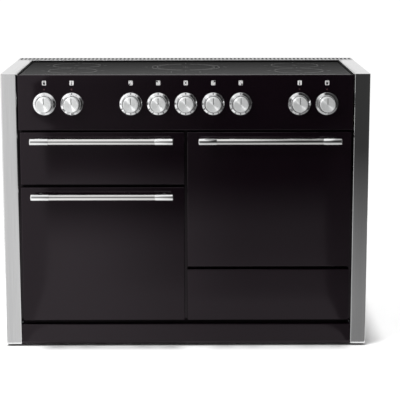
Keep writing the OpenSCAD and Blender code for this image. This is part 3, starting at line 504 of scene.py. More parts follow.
def lathe(bm: Shape, profile: Iterable[tuple[float, float]], place: Matrix, steps: int = 72) -> None:
    """Turns a profile of radius and height round local Z.

    Args:
        bm: The mesh that receives the shape.
        profile: Points of radius and height; a radius of nought closes the end.
        place: Where the local axes go.
        steps: Sides of each ring.
    """
    rings = []
    for r, h in profile:
        angles = [2 * math.pi * k / steps for k in range(steps)] if r > 1e-7 else [0.0]
        rings.append([bm.verts.new(place @ Vector((r * math.cos(a), r * math.sin(a), h))) for a in angles])
    for low, high in zip(rings, rings[1:]):
        for k in range(steps):
            n = (k + 1) % steps
            quad = (low[k % len(low)], low[n % len(low)], high[n % len(high)], high[k % len(high)])
            face = list(dict.fromkeys(quad))
            if len(face) > 2:
                bm.faces.new(face)


def prism(bm: Shape, outline: Outline, low: float, high: float, place: Matrix = Matrix()) -> None:
    """Raises a flat outline between two local heights.

    Args:
        bm: The mesh that receives the shape.
        outline: The outline in local X and Y.
        low: Lower height.
        high: Upper height.
        place: Where the local axes go.
    """
    rings = [[bm.verts.new(place @ Vector((x, y, h))) for x, y in outline] for h in (low, high)]
    bm.faces.new(rings[0])
    bm.faces.new(rings[1])
    count = len(outline)
    for k in range(count):
        n = (k + 1) % count
        bm.faces.new((rings[0][k], rings[0][n], rings[1][n], rings[1][k]))


def block(bm: Shape, low: Sequence[float], high: Sequence[float], r: float = 0.0, steps: int = 2) -> None:
    """A box between two corners, with its edges rounded.

    Args:
        bm: The mesh that receives the shape.
        low: Lowest corner.
        high: Highest corner.
        r: Radius of the edges.
        steps: Facets across a rounded edge.
    """
    centre = (Vector(low) + Vector(high)) / 2
    size = Vector(high) - Vector(low)
    place = Matrix.Translation(centre) @ Matrix.Diagonal((*size, 1))
    verts = bmesh.ops.create_cube(bm, size=1.0, matrix=place)["verts"]
    if r:
        edges = list({e for v in verts for e in v.link_edges})
        bmesh.ops.bevel(bm, geom=edges, offset=r, segments=steps, profile=0.5, affect="EDGES")


def ribbon(path: Outline, t: float) -> Outline:
    """The outline of a bent sheet: a path and its offset to the left by the sheet's thickness.

    Args:
        path: The outer side's points.
        t: The sheet's thickness.

    Returns:
        The closed outline's points.
    """
    inner = []
    for i, (x, y) in enumerate(path):
        before = Vector(path[i]) - Vector(path[i - 1]) if i else Vector(path[1]) - Vector(path[0])
        after = Vector(path[i + 1]) - Vector(path[i]) if i + 1 < len(path) else before
        before, after = before.normalized(), after.normalized()
        normal = Vector((-(before.y + after.y), before.x + after.x)).normalized()
        reach = t / max(0.3, normal.dot(Vector((-before.y, before.x))))
        inner.append((x + normal.x * reach, y + normal.y * reach))
    return path + inner[::-1]


def linked(name: str, data: bpy.types.ID) -> bpy.types.Object:
    """A new object in the scene's own collection.

    Args:
        name: The object's name.
        data: Its mesh, curve, lamp or camera.

    Returns:
        The object.
    """
    obj = bpy.data.objects.new(name, data)
    bpy.context.scene.collection.objects.link(obj)
    return obj


def made(name: str, bm: Shape) -> bpy.types.Mesh:
    """A mesh from a shape, which is freed here.

    Args:
        name: The mesh's name.
        bm: The shape.

    Returns:
        The mesh.
    """
    mesh = bpy.data.meshes.new(name)
    bm.to_mesh(mesh)
    bm.free()
    return mesh


def settled(obj: bpy.types.Object) -> bpy.types.Mesh:
    """The mesh that an object's curve or modifiers give; the object and its data are removed.

    Args:
        obj: The object.

    Returns:
        A new mesh.
    """
    graph = bpy.context.evaluated_depsgraph_get()
    mesh = bpy.data.meshes.new_from_object(obj.evaluated_get(graph))
    data = obj.data
    bpy.data.objects.remove(obj)
    bpy.data.batch_remove([data])
    return mesh


def piece(name: str, bm: Shape, finish: Finish, body: str,
          stands_for: Sequence[str] = (), sharp: float = 35.0) -> bpy.types.Object:
    """Makes an object from a shape and hands it to its body.

    Args:
        name: The piece's name.
        bm: Its shape; freed here.
        finish: Its finish.
        body: The body that it rides on.
        stands_for: CAD nodes that it replaces.
        sharp: Angle in degrees above which an edge stays sharp.

    Returns:
        The new object.
    """
    bmesh.ops.remove_doubles(bm, verts=bm.verts, dist=1e-6)
    bmesh.ops.recalc_face_normals(bm, faces=bm.faces)
    return dress(name, made(name, bm), finish, body, stands_for, sharp)


def dress(name: str, mesh: bpy.types.Mesh, finish: Finish, body: str,
          stands_for: Sequence[str] = (), sharp: float = 35.0) -> bpy.types.Object:
    """Makes an object from a finished mesh and hands it to its body.

    Args:
        name: The piece's name.
        mesh: Its mesh.
        finish: Its finish.
        body: The body that it rides on.
        stands_for: CAD nodes that it replaces.
        sharp: Angle in degrees above which an edge stays sharp.

    Returns:
        The new object.
    """
    for face in mesh.polygons:
        face.use_smooth = True
    mesh.set_sharp_from_angle(angle=math.radians(sharp))
    mesh.materials.clear()
    mesh.materials.append(finish.material())
    obj = linked(name, mesh)
    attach(obj, str(body.value if isinstance(body, Body) else body))
    if stands_for:
        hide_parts(*stands_for)
    LOG.info("%s: %d faces on %s", name, len(mesh.polygons), body)
    return obj


def tray(low: Vector, high: Vector, edge: float) -> Shape:
    """A box's outer skin, open at the back, with its other edges rounded.

    Args:
        low: The box's lowest corner.
        high: Its highest corner.
        edge: Radius of the edges.

    Returns:
        The skin.
    """
    bm = bmesh.new()
    block(bm, low, high)
    back = [f for f in bm.faces if f.calc_center_median().y > high.y - 1e-5]
    rim = {e for f in back for e in f.edges}
    bmesh.ops.delete(bm, geom=back, context="FACES_ONLY")
    edges = [e for e in bm.edges if e not in rim]
    bmesh.ops.bevel(bm, geom=edges, offset=edge, segments=5, profile=0.5, affect="EDGES")
    return bm


def pressed(bm: Shape, sheet: float, cut: Shape | None = None) -> bpy.types.Mesh:
    """A sheet-metal piece from its outer skin.

    Args:
        bm: The skin; freed here.
        sheet: The sheet's thickness, inwards.
        cut: What is cut out of the sheet, if anything; freed here.

    Returns:
        A new mesh.
    """
    bmesh.ops.recalc_face_normals(bm, faces=bm.faces)
    obj = linked("work", made("work", bm))
    solid = obj.modifiers.new("thicken", "SOLIDIFY")
    solid.thickness = sheet
    solid.offset = -1.0
    solid.use_even_offset = True
    if cut is None:
        return settled(obj)
    bmesh.ops.recalc_face_normals(cut, faces=cut.faces)
    cutter = linked("cutter", made("cutter", cut))
    hole = obj.modifiers.new("cut", "BOOLEAN")
    hole.operation = "DIFFERENCE"
    hole.object = cutter
    hole.solver = "EXACT"
    mesh = settled(obj)
    bpy.data.objects.remove(cutter)
    return mesh


def filled(outlines: Sequence[Outline], thickness: float, edge: float = 0.0) -> bpy.types.Mesh:
    """A flat plate from its outline and its holes, between heights 0 and thickness.

    Args:
        outlines: The outer outline first, and then the holes.
        thickness: The plate's thickness.
        edge: Rounding of its edges.

    Returns:
        A mesh in the local XY plane.
    """
    curve = bpy.data.curves.new("plate", "CURVE")
    curve.dimensions = "2D"
    curve.fill_mode = "BOTH"
    curve.extrude = thickness / 2 - edge
    curve.bevel_depth = edge
    curve.bevel_resolution = 1
    curve.offset = -edge
    for outline in outlines:
        spline = curve.splines.new("POLY")
        spline.points.add(len(outline) - 1)
        for point, (x, y) in zip(spline.points, outline):
            point.co = (x, y, 0.0, 1.0)
        spline.use_cyclic_u = True
    mesh = settled(linked("plate", curve))
    mesh.transform(Matrix.Translation((0, 0, thickness / 2)))
    return mesh


def lettered(text: str, height: float) -> bpy.types.Mesh:
    """A number as a flat mesh, centred on the origin, in the built-in type.

    Args:
        text: The number.
        height: Height of its digits.

    Returns:
        The mesh.
    """
    curve = bpy.data.curves.new("digits", "FONT")
    curve.body = text
    curve.size = height * 1.4
    curve.align_x = "CENTER"
    curve.align_y = "CENTER"
    curve.resolution_u = 3
    curve.offset = height * 0.08
    return settled(linked("digits", curve))


def middle(node: str) -> Vector:
    """The middle of a CAD node's box."""
    low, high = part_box(node)
    return (low + high) / 2


# Sub-assemblies


@dataclass
class PressedFront:
    """A door's or drawer's enamelled outer tray, folded back all round with soft edges."""

    node: str
    body: Body
    sheet: float = 1.5 * MM
    edge: float = 3.0 * MM
    notch_w: float = 7.0 * MM
    notch_h: float = 18.5 * MM
    notch_in: float = 2.5 * MM
    hinge_side: float = 45.0 * MM

    def notches(self) -> Shape:
        """What the hinge notches take out of the lower fold.

        Returns:
            The shape to cut away.
        """
        low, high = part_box(self.node)
        bm = bmesh.new()
        for x in (low.x + self.hinge_side, high.x - self.hinge_side):
            block(bm, (x - self.notch_w / 2, low.y + self.notch_in, low.z - MM),
                  (x + self.notch_w / 2, high.y + MM, low.z + self.notch_h))
        return bm

    def build(self) -> None:
        """Builds the tray and dresses it."""
        cut = self.notches() if self.body in (Body.LEFT_DOOR, Body.RIGHT_DOOR) else None
        mesh = pressed(tray(*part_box(self.node), self.edge), self.sheet, cut)
        dress(f"{self.node}_skin", mesh, BLACK_ENAMEL, self.body, [self.node])


@dataclass
class Fascia:
    """The control panel with its printed pictograms and small lamp lenses."""

    sheet: float = 1.5 * MM
    edge: float = 3.0 * MM
    top_fold: float = 8.0 * MM
    spindle_hole: float = 5.0 * MM
    lamp_hole: float = 2.8 * MM
    drill_l: float = 4.0 * MM
    fold_cut: float = 12.0 * MM
    lens_r: float = 2.5 * MM
    holder_r: float = 4.4 * MM
    holder_step: float = 2.0 * MM
    icon_w: float = 13.4 * MM
    icon_h: float = 15.0 * MM
    icon_up: float = 68.5 * MM
    ink: float = 0.12 * MM

    def panel(self) -> None:
        """The folded panel; its top fold is short, to pass in front of the seal."""
        low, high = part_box("control_panel")
        cut = bmesh.new()
        block(cut, (low.x - MM, low.y + self.top_fold, high.z - self.fold_cut), high + Vector((MM, MM, MM)))
        holes = [(x, knob_height(), self.spindle_hole, 24) for x in knob_places()]
        holes += [(x, middle("indicator_lamps").z, self.lamp_hole, 20) for x in lamp_places()]
        for x, z, r, steps in holes:
            drill = [(0, -MM), (r, -MM), (r, self.drill_l), (0, self.drill_l)]
            lathe(cut, drill, facing(x, low.y + self.edge, z), steps)
        mesh = pressed(tray(low, high, self.edge), self.sheet, cut)
        dress("control_panel_skin", mesh, BLACK_ENAMEL, Body.CHASSIS, ["control_panel"])

    def icon_marks(self, index: int) -> list[Outline]:
        """The dark marks on one pictogram, about its middle.

        Args:
            index: The knob's number, from 0 at the left.

        Returns:
            Outlines in the pictogram's own plane.
        """
        zones = [(-3.6, -4.4), (-3.6, 4.4), (0.0, 0.0), (3.6, 4.4), (3.6, -4.4)]
        if 2 <= index <= 6:
            return [arc(x * MM, y * MM, (2.9 if i == index - 2 else 1.3) * MM, 0, 330, 11)
                    for i, (x, y) in enumerate(zones)]
        if index in (1, 7):
            stem = rounded(2.0 * MM, 8.0 * MM, 0.9 * MM, 0, 1.4 * MM)
            return [stem, arc(0, -4.2 * MM, 2.3 * MM, 0, 330, 11)]
        bar = rounded(9.0 * MM, 1.3 * MM, 0.6 * MM, 0, 5.4 * MM)
        box = [(-3.8 * MM, -5.6 * MM), (3.8 * MM, -5.6 * MM), (3.8 * MM, 2.4 * MM), (-3.8 * MM, 2.4 * MM)]
        return [bar, box]

    def icons(self) -> None:
        """The pale pictogram plates and their dark marks, as printed layers."""
        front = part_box("control_panel")[0].y
        plates, marks = bmesh.new(), bmesh.new()
        for i, x in enumerate(knob_places()):
            place = facing(x, front, knob_height() + self.icon_up)
            prism(plates, rounded(self.icon_w, self.icon_h, 1.6 * MM), -self.ink, self.ink, place)
            for outline in self.icon_marks(i):
                prism(marks, outline, 0.0, self.ink * 1.8, place)
        piece("fascia_pictograms", plates, PALE_INK, Body.CHASSIS)
        piece("fascia_pictogram_marks", marks, DARK_INK, Body.CHASSIS)

    def lenses(self) -> None:
        """The four domed lamp lenses with their holders."""
        low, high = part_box("indicator_lamps")
        r, out = self.lens_r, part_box("control_panel")[0].y - low.y
        back = high.y - low.y
        step = back - out - self.holder_step
        bm = bmesh.new()
        for x in lamp_places():
            place = facing(x, high.y, middle("indicator_lamps").z)
            turns = [math.radians(a) for a in range(80, 0, -16)]
            dome = [(r * math.sin(a), back - out * (1 - math.cos(a))) for a in turns]
            holder = [(0, 0), (self.holder_r, 0), (self.holder_r, step), (r, step), (r, back - out)]
            lathe(bm, [*holder, *dome, (0, back)], place, 32)
        piece("indicator_lenses", bm, NEON, Body.CHASSIS, ["indicator_lamps"])

    def build(self) -> None:
        """Builds the panel, its print and its lenses."""
        self.panel()
        self.icons()
        self.lenses()


def knob_places() -> list[float]:
    """The nine knobs' places along X, from left to right."""
    return [middle(f"knob_{i}").x for i in range(1, 10)]


def knob_height() -> float:
    """The height of the knobs' axes."""
    return middle("knob_5").z


def lamp_places() -> list[float]:
    """The four indicator lamps' places along X, above the oven knobs."""
    places = knob_places()
    return [*places[:2], *places[7:]]


@dataclass
class Bezels:
    """The nine polished conical rings behind the knobs, with dark dial marks."""

    foot_r: float = 37.0 * MM
    rim_h: float = 4.6 * MM
    cone_r: float = 36.4 * MM
    cone_h: float = 5.3 * MM
    lip_r: float = 29.6 * MM
    lip_h: float = 8.3 * MM
    bore_r: float = 26.5 * MM
    digit: float = 5.6 * MM
    tick_w: float = 1.1 * MM
    tick_l: float = 3.4 * MM
    tick_r: float = 0.5 * MM
    ink: float = 0.05 * MM

    def profile(self) -> Outline:
        """The ring's section, from the bore over the flat lip and the cone to the foot.

        Returns:
            Points of radius and height.
        """
        lip = arc(self.bore_r + 0.6 * MM, self.lip_h - 0.6 * MM, 0.6 * MM, 180, 90, 5)
        return [(self.bore_r, 0.0), *lip, (self.lip_r, self.lip_h), (self.cone_r, self.cone_h),
                (self.foot_r, self.rim_h), (self.foot_r, 0.0), (self.bore_r, 0.0)]

    def on_cone(self, turn: float, out: float, raised: float) -> Vector:
        """A point on the cone.

        Args:
            turn: Angle clockwise from the top, in radians.
            out: Distance outwards from the middle of the cone's slope.
            raised: Height above the surface.

        Returns:
            The point in the ring's own axes.
        """
        run = Vector((self.cone_r - self.lip_r, self.cone_h - self.lip_h)).normalized()
        r = (self.cone_r + self.lip_r) / 2 + run.x * out - run.y * raised
        h = (self.cone_h + self.lip_h) / 2 + run.y * out + run.x * raised
        return Vector((r * math.sin(turn), r * math.cos(turn), h))

    def wrap(self, bm: Shape, flat: bpy.types.Mesh, turn: float, place: Matrix) -> None:
        """Lays a flat mark on the cone.

        Args:
            bm: The mesh that receives the mark.
            flat: The mark about its middle; its Y points outwards. Removed here.
            turn: The mark's angle, clockwise from the top, in degrees.
            place: The bezel's place.
        """
        mid_r = (self.cone_r + self.lip_r) / 2
        verts = [bm.verts.new(place @ self.on_cone(math.radians(turn) + v.co.x / mid_r, v.co.y, self.ink))
                 for v in flat.vertices]
        for face in flat.polygons:
            bm.faces.new([verts[i] for i in face.vertices])
        bpy.data.meshes.remove(flat)

    def marks(self, kind: Dial) -> list[tuple[str, float]]:
        """A dial's marks as text and angle; an empty text is a tick.

        Args:
            kind: What the dial is marked with.

        Returns:
            Pairs of text and angle in degrees, clockwise from the top.
        """
        if kind is Dial.HEAT:
            return [("0", 0.0)] + [(str(i), 30.0 * i) for i in range(1, 10)]
        if kind is Dial.WARMTH:
            numbers = [("0", 0.0)] + [(str(50 * i), 58.0 * i) for i in range(1, 6)]
            return numbers + [("", 29.0 + 58.0 * i) for i in range(5)]
        return [("", 45.0 * i) for i in range(8)] + [("", 45.0 * i + 8.0) for i in range(2, 8)]

    def build(self) -> None:
        """Builds the rings and their marks."""
        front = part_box("control_panel")[0].y
        rings, ink = bmesh.new(), bmesh.new()
        kinds = {0: Dial.SELECT, 1: Dial.WARMTH, 7: Dial.WARMTH, 8: Dial.SELECT}
        for i, x in enumerate(knob_places()):
            place = facing(x, front, knob_height())
            lathe(rings, self.profile(), place, 96)
            for text, turn in self.marks(kinds.get(i, Dial.HEAT)):
                tick = [rounded(self.tick_w, self.tick_l, self.tick_r)]
                mark = lettered(text, self.digit) if text else filled(tick, 0.02 * MM)
                self.wrap(ink, mark, turn, place)
        piece("bezel_rings", rings, POLISHED_STEEL, Body.CHASSIS, ["knob_bezels"], sharp=21)
        piece("dial_marks", ink, DARK_INK, Body.CHASSIS)


@dataclass
class Knob:
    """A spun-aluminium knob: a drum with a soft shoulder, a dished face and an inlaid pointer line."""

    number: int
    spindle_r: float = 3.0 * MM
    skirt: float = 1.0 * MM
    shoulder: float = 3.0 * MM
    dish: float = 0.7 * MM
    line_w: float = 2.0 * MM
    line_from: float = 1.0 * MM

    def face(self, r: float, x: float) -> float:
        """The dished face's depth below the rim, at a distance from the middle."""
        return self.dish * (1 - (x / (r - self.shoulder)) ** 2)

    def build(self) -> None:
        """Builds the drum with its spindle, and the line on its face."""
        node = f"knob_{self.number}"
        low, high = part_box(node)
        centre = (low + high) / 2
        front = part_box("control_panel")[0].y
        r, out = (high.x - low.x) / 2, front - low.y
        place = facing(centre.x, front, centre.z)
        rim = r - self.shoulder
        face = [(rim * k / 6, out - self.face(r, rim * k / 6)) for k in range(6, 0, -1)]
        back = front - high.y
        profile = [(0, back), (self.spindle_r, back), (self.spindle_r, self.skirt),
                   (r - 1.2 * MM, self.skirt), (r - 0.6 * MM, self.skirt + 0.6 * MM),
                   (r, 0.62 * out), (r - 0.1 * MM, 0.8 * out),
                   *arc(r - self.shoulder, out - self.shoulder, self.shoulder, 8, 84, 8), *face,
                   (0, out - self.dish)]
        drum = bmesh.new()
        lathe(drum, profile, place, 96)
        piece(f"{node}_drum", drum, SPUN_ALUMINIUM, node, [node], sharp=40)
        line = bmesh.new()
        stops = [self.line_from + (rim - self.line_from) * k / 5 for k in range(6)]
        heights = [out - self.face(r, y) for y in stops]
        for (y0, h0), (y1, h1) in zip(zip(stops, heights), zip(stops[1:], heights[1:])):
            side = self.line_w / 2
            corners = [(-side, y0, h0), (side, y0, h0), (side, y1, h1), (-side, y1, h1)]
            line.faces.new([line.verts.new(place @ Vector((x, y, h + 0.03 * MM))) for x, y, h in corners])
        piece(f"{node}_pointer", line, DARK_INK, node)


@dataclass
class Handle:
    """A tubular handle: a bar between two turned ferrules, on two stems with black washers."""

    node: str
    body: Body
    front_node: str
    bar_r: float = 11.0 * MM
    ferrule_r: float = 12.0 * MM
    ferrule_l: float = 60.0 * MM
    stem_r: float = 5.2 * MM
    washer_r: float = 7.0 * MM
    washer_t: float = 1.6 * MM
    lap: float = 5.0 * MM

    def ferrule(self, bm: Shape, start: Vector, sign: int) -> None:
        """One turned end cap.

        Args:
            bm: The mesh that receives it.
            start: The middle of its inner end.
            sign: -1 for the left end and 1 for the right one.
        """
        place = Matrix.Translation(start) @ Matrix.Rotation(math.radians(90 * sign), 4, "Y")
        r, length = self.ferrule_r, self.ferrule_l
        profile = [(0, 0), (r - 1.2 * MM, 0), (r - 0.4 * MM, 0.3 * MM), (r, 1.1 * MM), (r, length - 3.5 * MM),
                   *arc(r - 3 * MM, length - 3 * MM, 3 * MM, 0, 90, 8), (0, length)]
        lathe(bm, profile, place, 64)

    def build(self) -> None:
        """Builds the bar, the ferrules and the stems."""
        low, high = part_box(self.node)
        y, z = low.y + self.ferrule_r, (low.z + high.z) / 2
        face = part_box(self.front_node)[0].y
        inner = (low.x + self.ferrule_l, high.x - self.ferrule_l)
        bar = bmesh.new()
        across = Matrix.Translation((inner[0] - self.lap, y, z)) @ Matrix.Rotation(math.radians(90), 4, "Y")
        length = inner[1] - inner[0] + 2 * self.lap
        rings = [(self.bar_r, length * k / 8) for k in range(9)]
        lathe(bar, [(0, 0), *rings, (0, length)], across, 64)
        piece(f"{self.node}_bar", bar, POLISHED_BAR, self.body, [self.node])
        ends = bmesh.new()
        self.ferrule(ends, Vector((inner[0], y, z)), -1)
        self.ferrule(ends, Vector((inner[1], y, z)), 1)
        washers = bmesh.new()
        for x in (low.x + self.ferrule_l / 2, high.x - self.ferrule_l / 2):
            place = facing(x, face, z)
            reach, r, t = face - y, self.washer_r, self.washer_t
            lathe(ends, [(0, 0), (self.stem_r, 0), (self.stem_r, reach), (0, reach)], place, 40)
            ring = [(0, 0), (r, 0), (r, t / 2), (r - t / 2, t), (0, t)]
            lathe(washers, ring, place, 40)
        piece(f"{self.node}_ends", ends, POLISHED_END, self.body)
        piece(f"{self.node}_washers", washers, BLACK_PLASTIC, self.body)


@dataclass
class SidePanel:
    """A steel side: wall, front post with an inner lip, rear return, and the strip beside the glass."""

    node: str
    sign: int
    sheet: float = 1.5 * MM
    fold: float = 3.0 * MM
    post_w: float = 51.0 * MM
    strip_w: float = 55.0 * MM
    lip_l: float = 60.0 * MM
    rear_fold: float = 24.0 * MM
    rear_cut: float = 2.0 * MM
    rail_t: float = 2.0 * MM
    rail_gap: float = 0.2 * MM
    strip_edge: float = 0.9 * MM
    lip_below: float = 0.6 * MM
    crease: float = 5.0

    def build(self) -> None:
        """Builds the folded wall and the strip on it."""
        low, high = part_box(self.node)
        rail_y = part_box("vent_rail")[0].y
        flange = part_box("glass_seal")[0].z
        out = high.x if self.sign > 0 else -low.x
        front, rear = low.y, high.y
        post = out - self.post_w
        path = [(post, front + self.lip_l), (post, front + self.fold),
                *arc(post + self.fold, front + self.fold, self.fold, 180, 270, 6)[1:],
                *arc(out - self.fold, front + self.fold, self.fold, 270, 360, 6),
                (out, rear - self.rear_cut), (out - self.rear_cut, rear), (out - self.rear_fold, rear)]
        outline = [(self.sign * x, y) for x, y in ribbon(path, self.sheet)]
        bm = bmesh.new()
        prism(bm, outline, low.z, high.z - self.rail_t)
        piece(f"{self.node}_skin", bm, STEEL_UPRIGHT, Body.CHASSIS, [self.node], self.crease)
        strip = bmesh.new()
        inner = self.sign * (out - self.strip_w)
        xs = sorted((self.sign * out, inner))
        end = rail_y - self.rail_gap
        block(strip, (xs[0], front, high.z - self.rail_t), (xs[1], end, high.z), self.strip_edge, 3)
        lip = sorted((inner, inner + self.sign * self.sheet))
        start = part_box("glass_seal")[0].y
        block(strip, (lip[0], start, flange), (lip[1], end, high.z - self.lip_below))
        piece(f"{self.node}_strip", strip, STEEL_DEEP, Body.CHASSIS, sharp=self.crease)


@dataclass
class VentRail:
    """The slotted steel rail behind the glass."""

    slots: int = 84
    margin: float = 10.0 * MM
    slot_w: float = 7.5 * MM
    slot_l: float = 48.0 * MM
    slot_in: float = 58.0 * MM
    t: float = 1.2 * MM
    sheet: float = 1.5 * MM
    front_skirt: float = 20.0 * MM

    def build(self) -> None:
        """Builds the top with its rounded slots, and the two skirts; the slot walls are painted black as
        shade.
        """
        low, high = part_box("vent_rail")
        span = high.x - low.x - 2 * self.margin
        y = low.y + self.slot_in
        holes = [rounded(self.slot_w, self.slot_l, self.slot_w / 2 - 0.05 * MM,
                         low.x + self.margin + span * i / (self.slots - 1), y, 4) for i in range(self.slots)]
        frame_outline = rounded(high.x - low.x, high.y - low.y, 1.5 * MM, 0.0, (low.y + high.y) / 2, 3)
        top = filled([frame_outline, *holes], self.t, 0.3 * MM)
        top.transform(Matrix.Translation((0, 0, high.z - self.t)))
        bm = bmesh.new()
        bm.from_mesh(top)
        bpy.data.meshes.remove(top)
        block(bm, (low.x + 2 * MM, low.y, high.z - self.front_skirt),
              (high.x - 2 * MM, low.y + self.sheet, high.z - self.t / 2))
        block(bm, (low.x, high.y - self.sheet, low.z), (high.x, high.y, high.z - self.t / 2), 0.4 * MM)
        skin = piece("vent_rail_skin", bm, STEEL_ACROSS, Body.CHASSIS, ["vent_rail"])
        # The slots' upright walls take the black plastic finish: painted shade, standing in for the shadow
        # inside the slots.
        skin.data.materials.append(BLACK_PLASTIC.material())
        reach = Vector((span / 2 + self.slot_w, self.slot_l / 2 + 0.01 * MM))
        for face in skin.data.polygons:
            inside = abs(face.center.x) < reach.x and abs(face.center.y - y) < reach.y
            if inside and abs(face.normal.z) < 0.3:
                face.material_index = 1


@dataclass
class Hob:
    """The black glass with its faint printed zone marks."""

    edge: float = 1.2 * MM
    corner: float = 4.0 * MM
    line: float = 2.0 * MM
    ink: float = 0.06 * MM
    ring_r: float = 82.0 * MM
    tick_in: float = 12.0 * MM
    tick_out: float = 24.0 * MM
    cross_in: float = 3.0 * MM
    cross_out: float = 9.0 * MM
    mid_rings: tuple[float, float] = (100.0 * MM, 117.0 * MM)
    side_x: float = 0.380
    rows: tuple[float, float] = (-0.128, 0.065)
    mid_y: float = 0.002
    sensor_x: float = 0.048
    sensor_y: float = -0.174

    def glass(self) -> None:
        """The plate, with a ground edge."""
        low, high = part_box("hob_glass")
        centre = (low + high) / 2
        outline = rounded(high.x - low.x, high.y - low.y, self.corner, centre.x, centre.y, 6)
        mesh = filled([outline], high.z - low.z, self.edge)
        mesh.transform(Matrix.Translation((0, 0, low.z)))
        dress("hob_glass_plate", mesh, HOB_GLASS, Body.CHASSIS, ["hob_glass"])

    def bow(self, bm: Shape, centre: Sequence[float], r: float, start: float, end: float) -> None:
        """Prints an arc.

        Args:
            bm: The mesh that receives it.
            centre: The zone's middle.
            r: Radius.
            start: First angle in degrees.
            end: Last angle in degrees.
        """
        sides = [arc(centre[0], centre[1], r + side * self.line / 2, start, end, 20) for side in (-1, 1)]
        for (a, b), (c, d) in zip(zip(sides[0], sides[0][1:]), zip(sides[1], sides[1][1:])):
            bm.faces.new([bm.verts.new((x, y, self.level())) for x, y in (a, b, d, c)])

    def tick(self, bm: Shape, centre: Sequence[float], turn: float, near: float, far: float) -> None:
        """Prints a straight tick that points away from a zone's middle, between two radii.

        Args:
            bm: The mesh that receives it.
            centre: The zone's middle.
            turn: The tick's angle in degrees.
            near: Inner radius.
            far: Outer radius.
        """
        a = math.radians(turn)
        along = Vector((math.cos(a), math.sin(a)))
        side = Vector((-math.sin(a), math.cos(a))) * self.line / 2
        corners = [along * near - side, along * far - side, along * far + side, along * near + side]
        bm.faces.new([bm.verts.new((centre[0] + c.x, centre[1] + c.y, self.level())) for c in corners])

    def level(self) -> float:
        """The height of the printed layer."""
        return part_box("hob_glass")[1].z + self.ink

    def zone(self, bm: Shape, centre: Sequence[float], radii: Sequence[float]) -> None:
        """One zone's marks: rings open at the four quarters, ticks outside them and a small cross inside.

        Args:
            bm: The mesh that receives them.
            centre: The zone's middle.
            radii: The rings' radii.
        """
        for r in radii:
            for start in (8, 98, 188, 278):
                self.bow(bm, centre, r, start, start + 74)
        reach = max(radii)
        for turn in (0, 90, 180, 270):
            self.tick(bm, centre, turn, reach + self.tick_in, reach + self.tick_out)
            self.tick(bm, centre, turn, self.cross_in, self.cross_out)

    def build(self) -> None:
        """Builds the glass and its print."""
        self.glass()
        bm = bmesh.new()
        for x in (-self.side_x, self.side_x):
            for y in self.rows:
                self.zone(bm, (x, y), (self.ring_r,))
        self.zone(bm, (0.0, self.mid_y), self.mid_rings)
        for x in (-self.sensor_x, self.sensor_x):
            self.tick(bm, (x, self.sensor_y), 90, -self.cross_out, self.cross_out)
        piece("zone_marks", bm, GLASS_INK, Body.CHASSIS)


@dataclass
class GlassSeal:
    """The black seal round the glass, with a soft lip on the glass at the sides and the back."""

    lip_w: float = 6.0 * MM
    rear_w: float = 22.0 * MM
    lip_r: float = 1.1 * MM
    below: float = 0.4 * MM

    def build(self) -> None:
        """Builds the lip as three bars that meet at the rear corners; the sealing strip below stays."""
        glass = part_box("hob_glass")
        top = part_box("side_panel_left")[1].z - self.below
        bm = bmesh.new()
        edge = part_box("glass_seal")[1].x
        front, back = glass[0].y + self.lip_r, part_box("vent_rail")[0].y - 0.1 * MM
        for x in (-edge, edge - self.lip_w):
            block(bm, (x, front, glass[1].z), (x + self.lip_w, back, top), self.lip_r, 3)
        block(bm, (-edge, back - self.rear_w, glass[1].z), (edge, back, top), self.lip_r, 3)
        piece("glass_seal_lip", bm, RUBBER, Body.CHASSIS)


@dataclass
class Plinth:
    """The bare enamelled plinth board."""

    sheet: float = 1.5 * MM
    edge: float = 3.0 * MM
    bottom_fold: float = 20.0 * MM

    def build(self) -> None:
        """Builds the folded board; its lower fold is short."""
        low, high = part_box("plinth")
        cut = bmesh.new()
        block(cut, (low.x - MM, low.y + self.bottom_fold, low.z - MM),
              (high.x + MM, high.y + MM, high.z - self.sheet))
        mesh = pressed(tray(low, high, self.edge), self.sheet, cut)
        dress("plinth_skin", mesh, BLACK_ENAMEL, Body.CHASSIS, ["plinth"])


@dataclass
class Foot:
    """A levelling foot: a ribbed pad under a threaded stud."""

    node: str
    body: str
    pad_h: float = 8.0 * MM
    stud_r: float = 5.0 * MM
    ribs: int = 24
    rib: float = 0.6 * MM
    pitch: float = 1.5 * MM
    thread_d: float = 0.8 * MM

    def build(self) -> None:
        """Builds the pad and the stud with its thread."""
        low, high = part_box(self.node)
        centre = (low + high) / 2
        r = (high.x - low.x) / 2
        place = Matrix.Translation((centre.x, centre.y, low.z))
        bm = bmesh.new()
        outline = []
        for k in range(4 * self.ribs):
            a = 2 * math.pi * k / (4 * self.ribs)
            reach = r - (self.rib if k % 4 in (0, 3) else 0.0)
            outline.append((reach * math.cos(a), reach * math.sin(a)))
        prism(bm, outline, 1.0 * MM, self.pad_h, place)
        lathe(bm, [(0, 0), (r - 2 * MM, 0), (r - MM, 1.0 * MM), (0, 1.0 * MM)], place, 48)
        top = high.z - low.z
        core = self.stud_r - self.thread_d
        turns = int((top - self.pad_h) / self.pitch) - 1
        thread = [(0, self.pad_h), (core, self.pad_h)]
        for k in range(turns):
            h = self.pad_h + self.pitch * (k + 0.5)
            thread += [(core, h), (self.stud_r, h + self.pitch / 2)]
        thread += [(core, top - MM), (self.stud_r - self.pitch, top), (0, top)]
        lathe(bm, thread, place, 24)
        piece(f"{self.node}_pad", bm, BLACK_PLASTIC, self.body, [self.node])


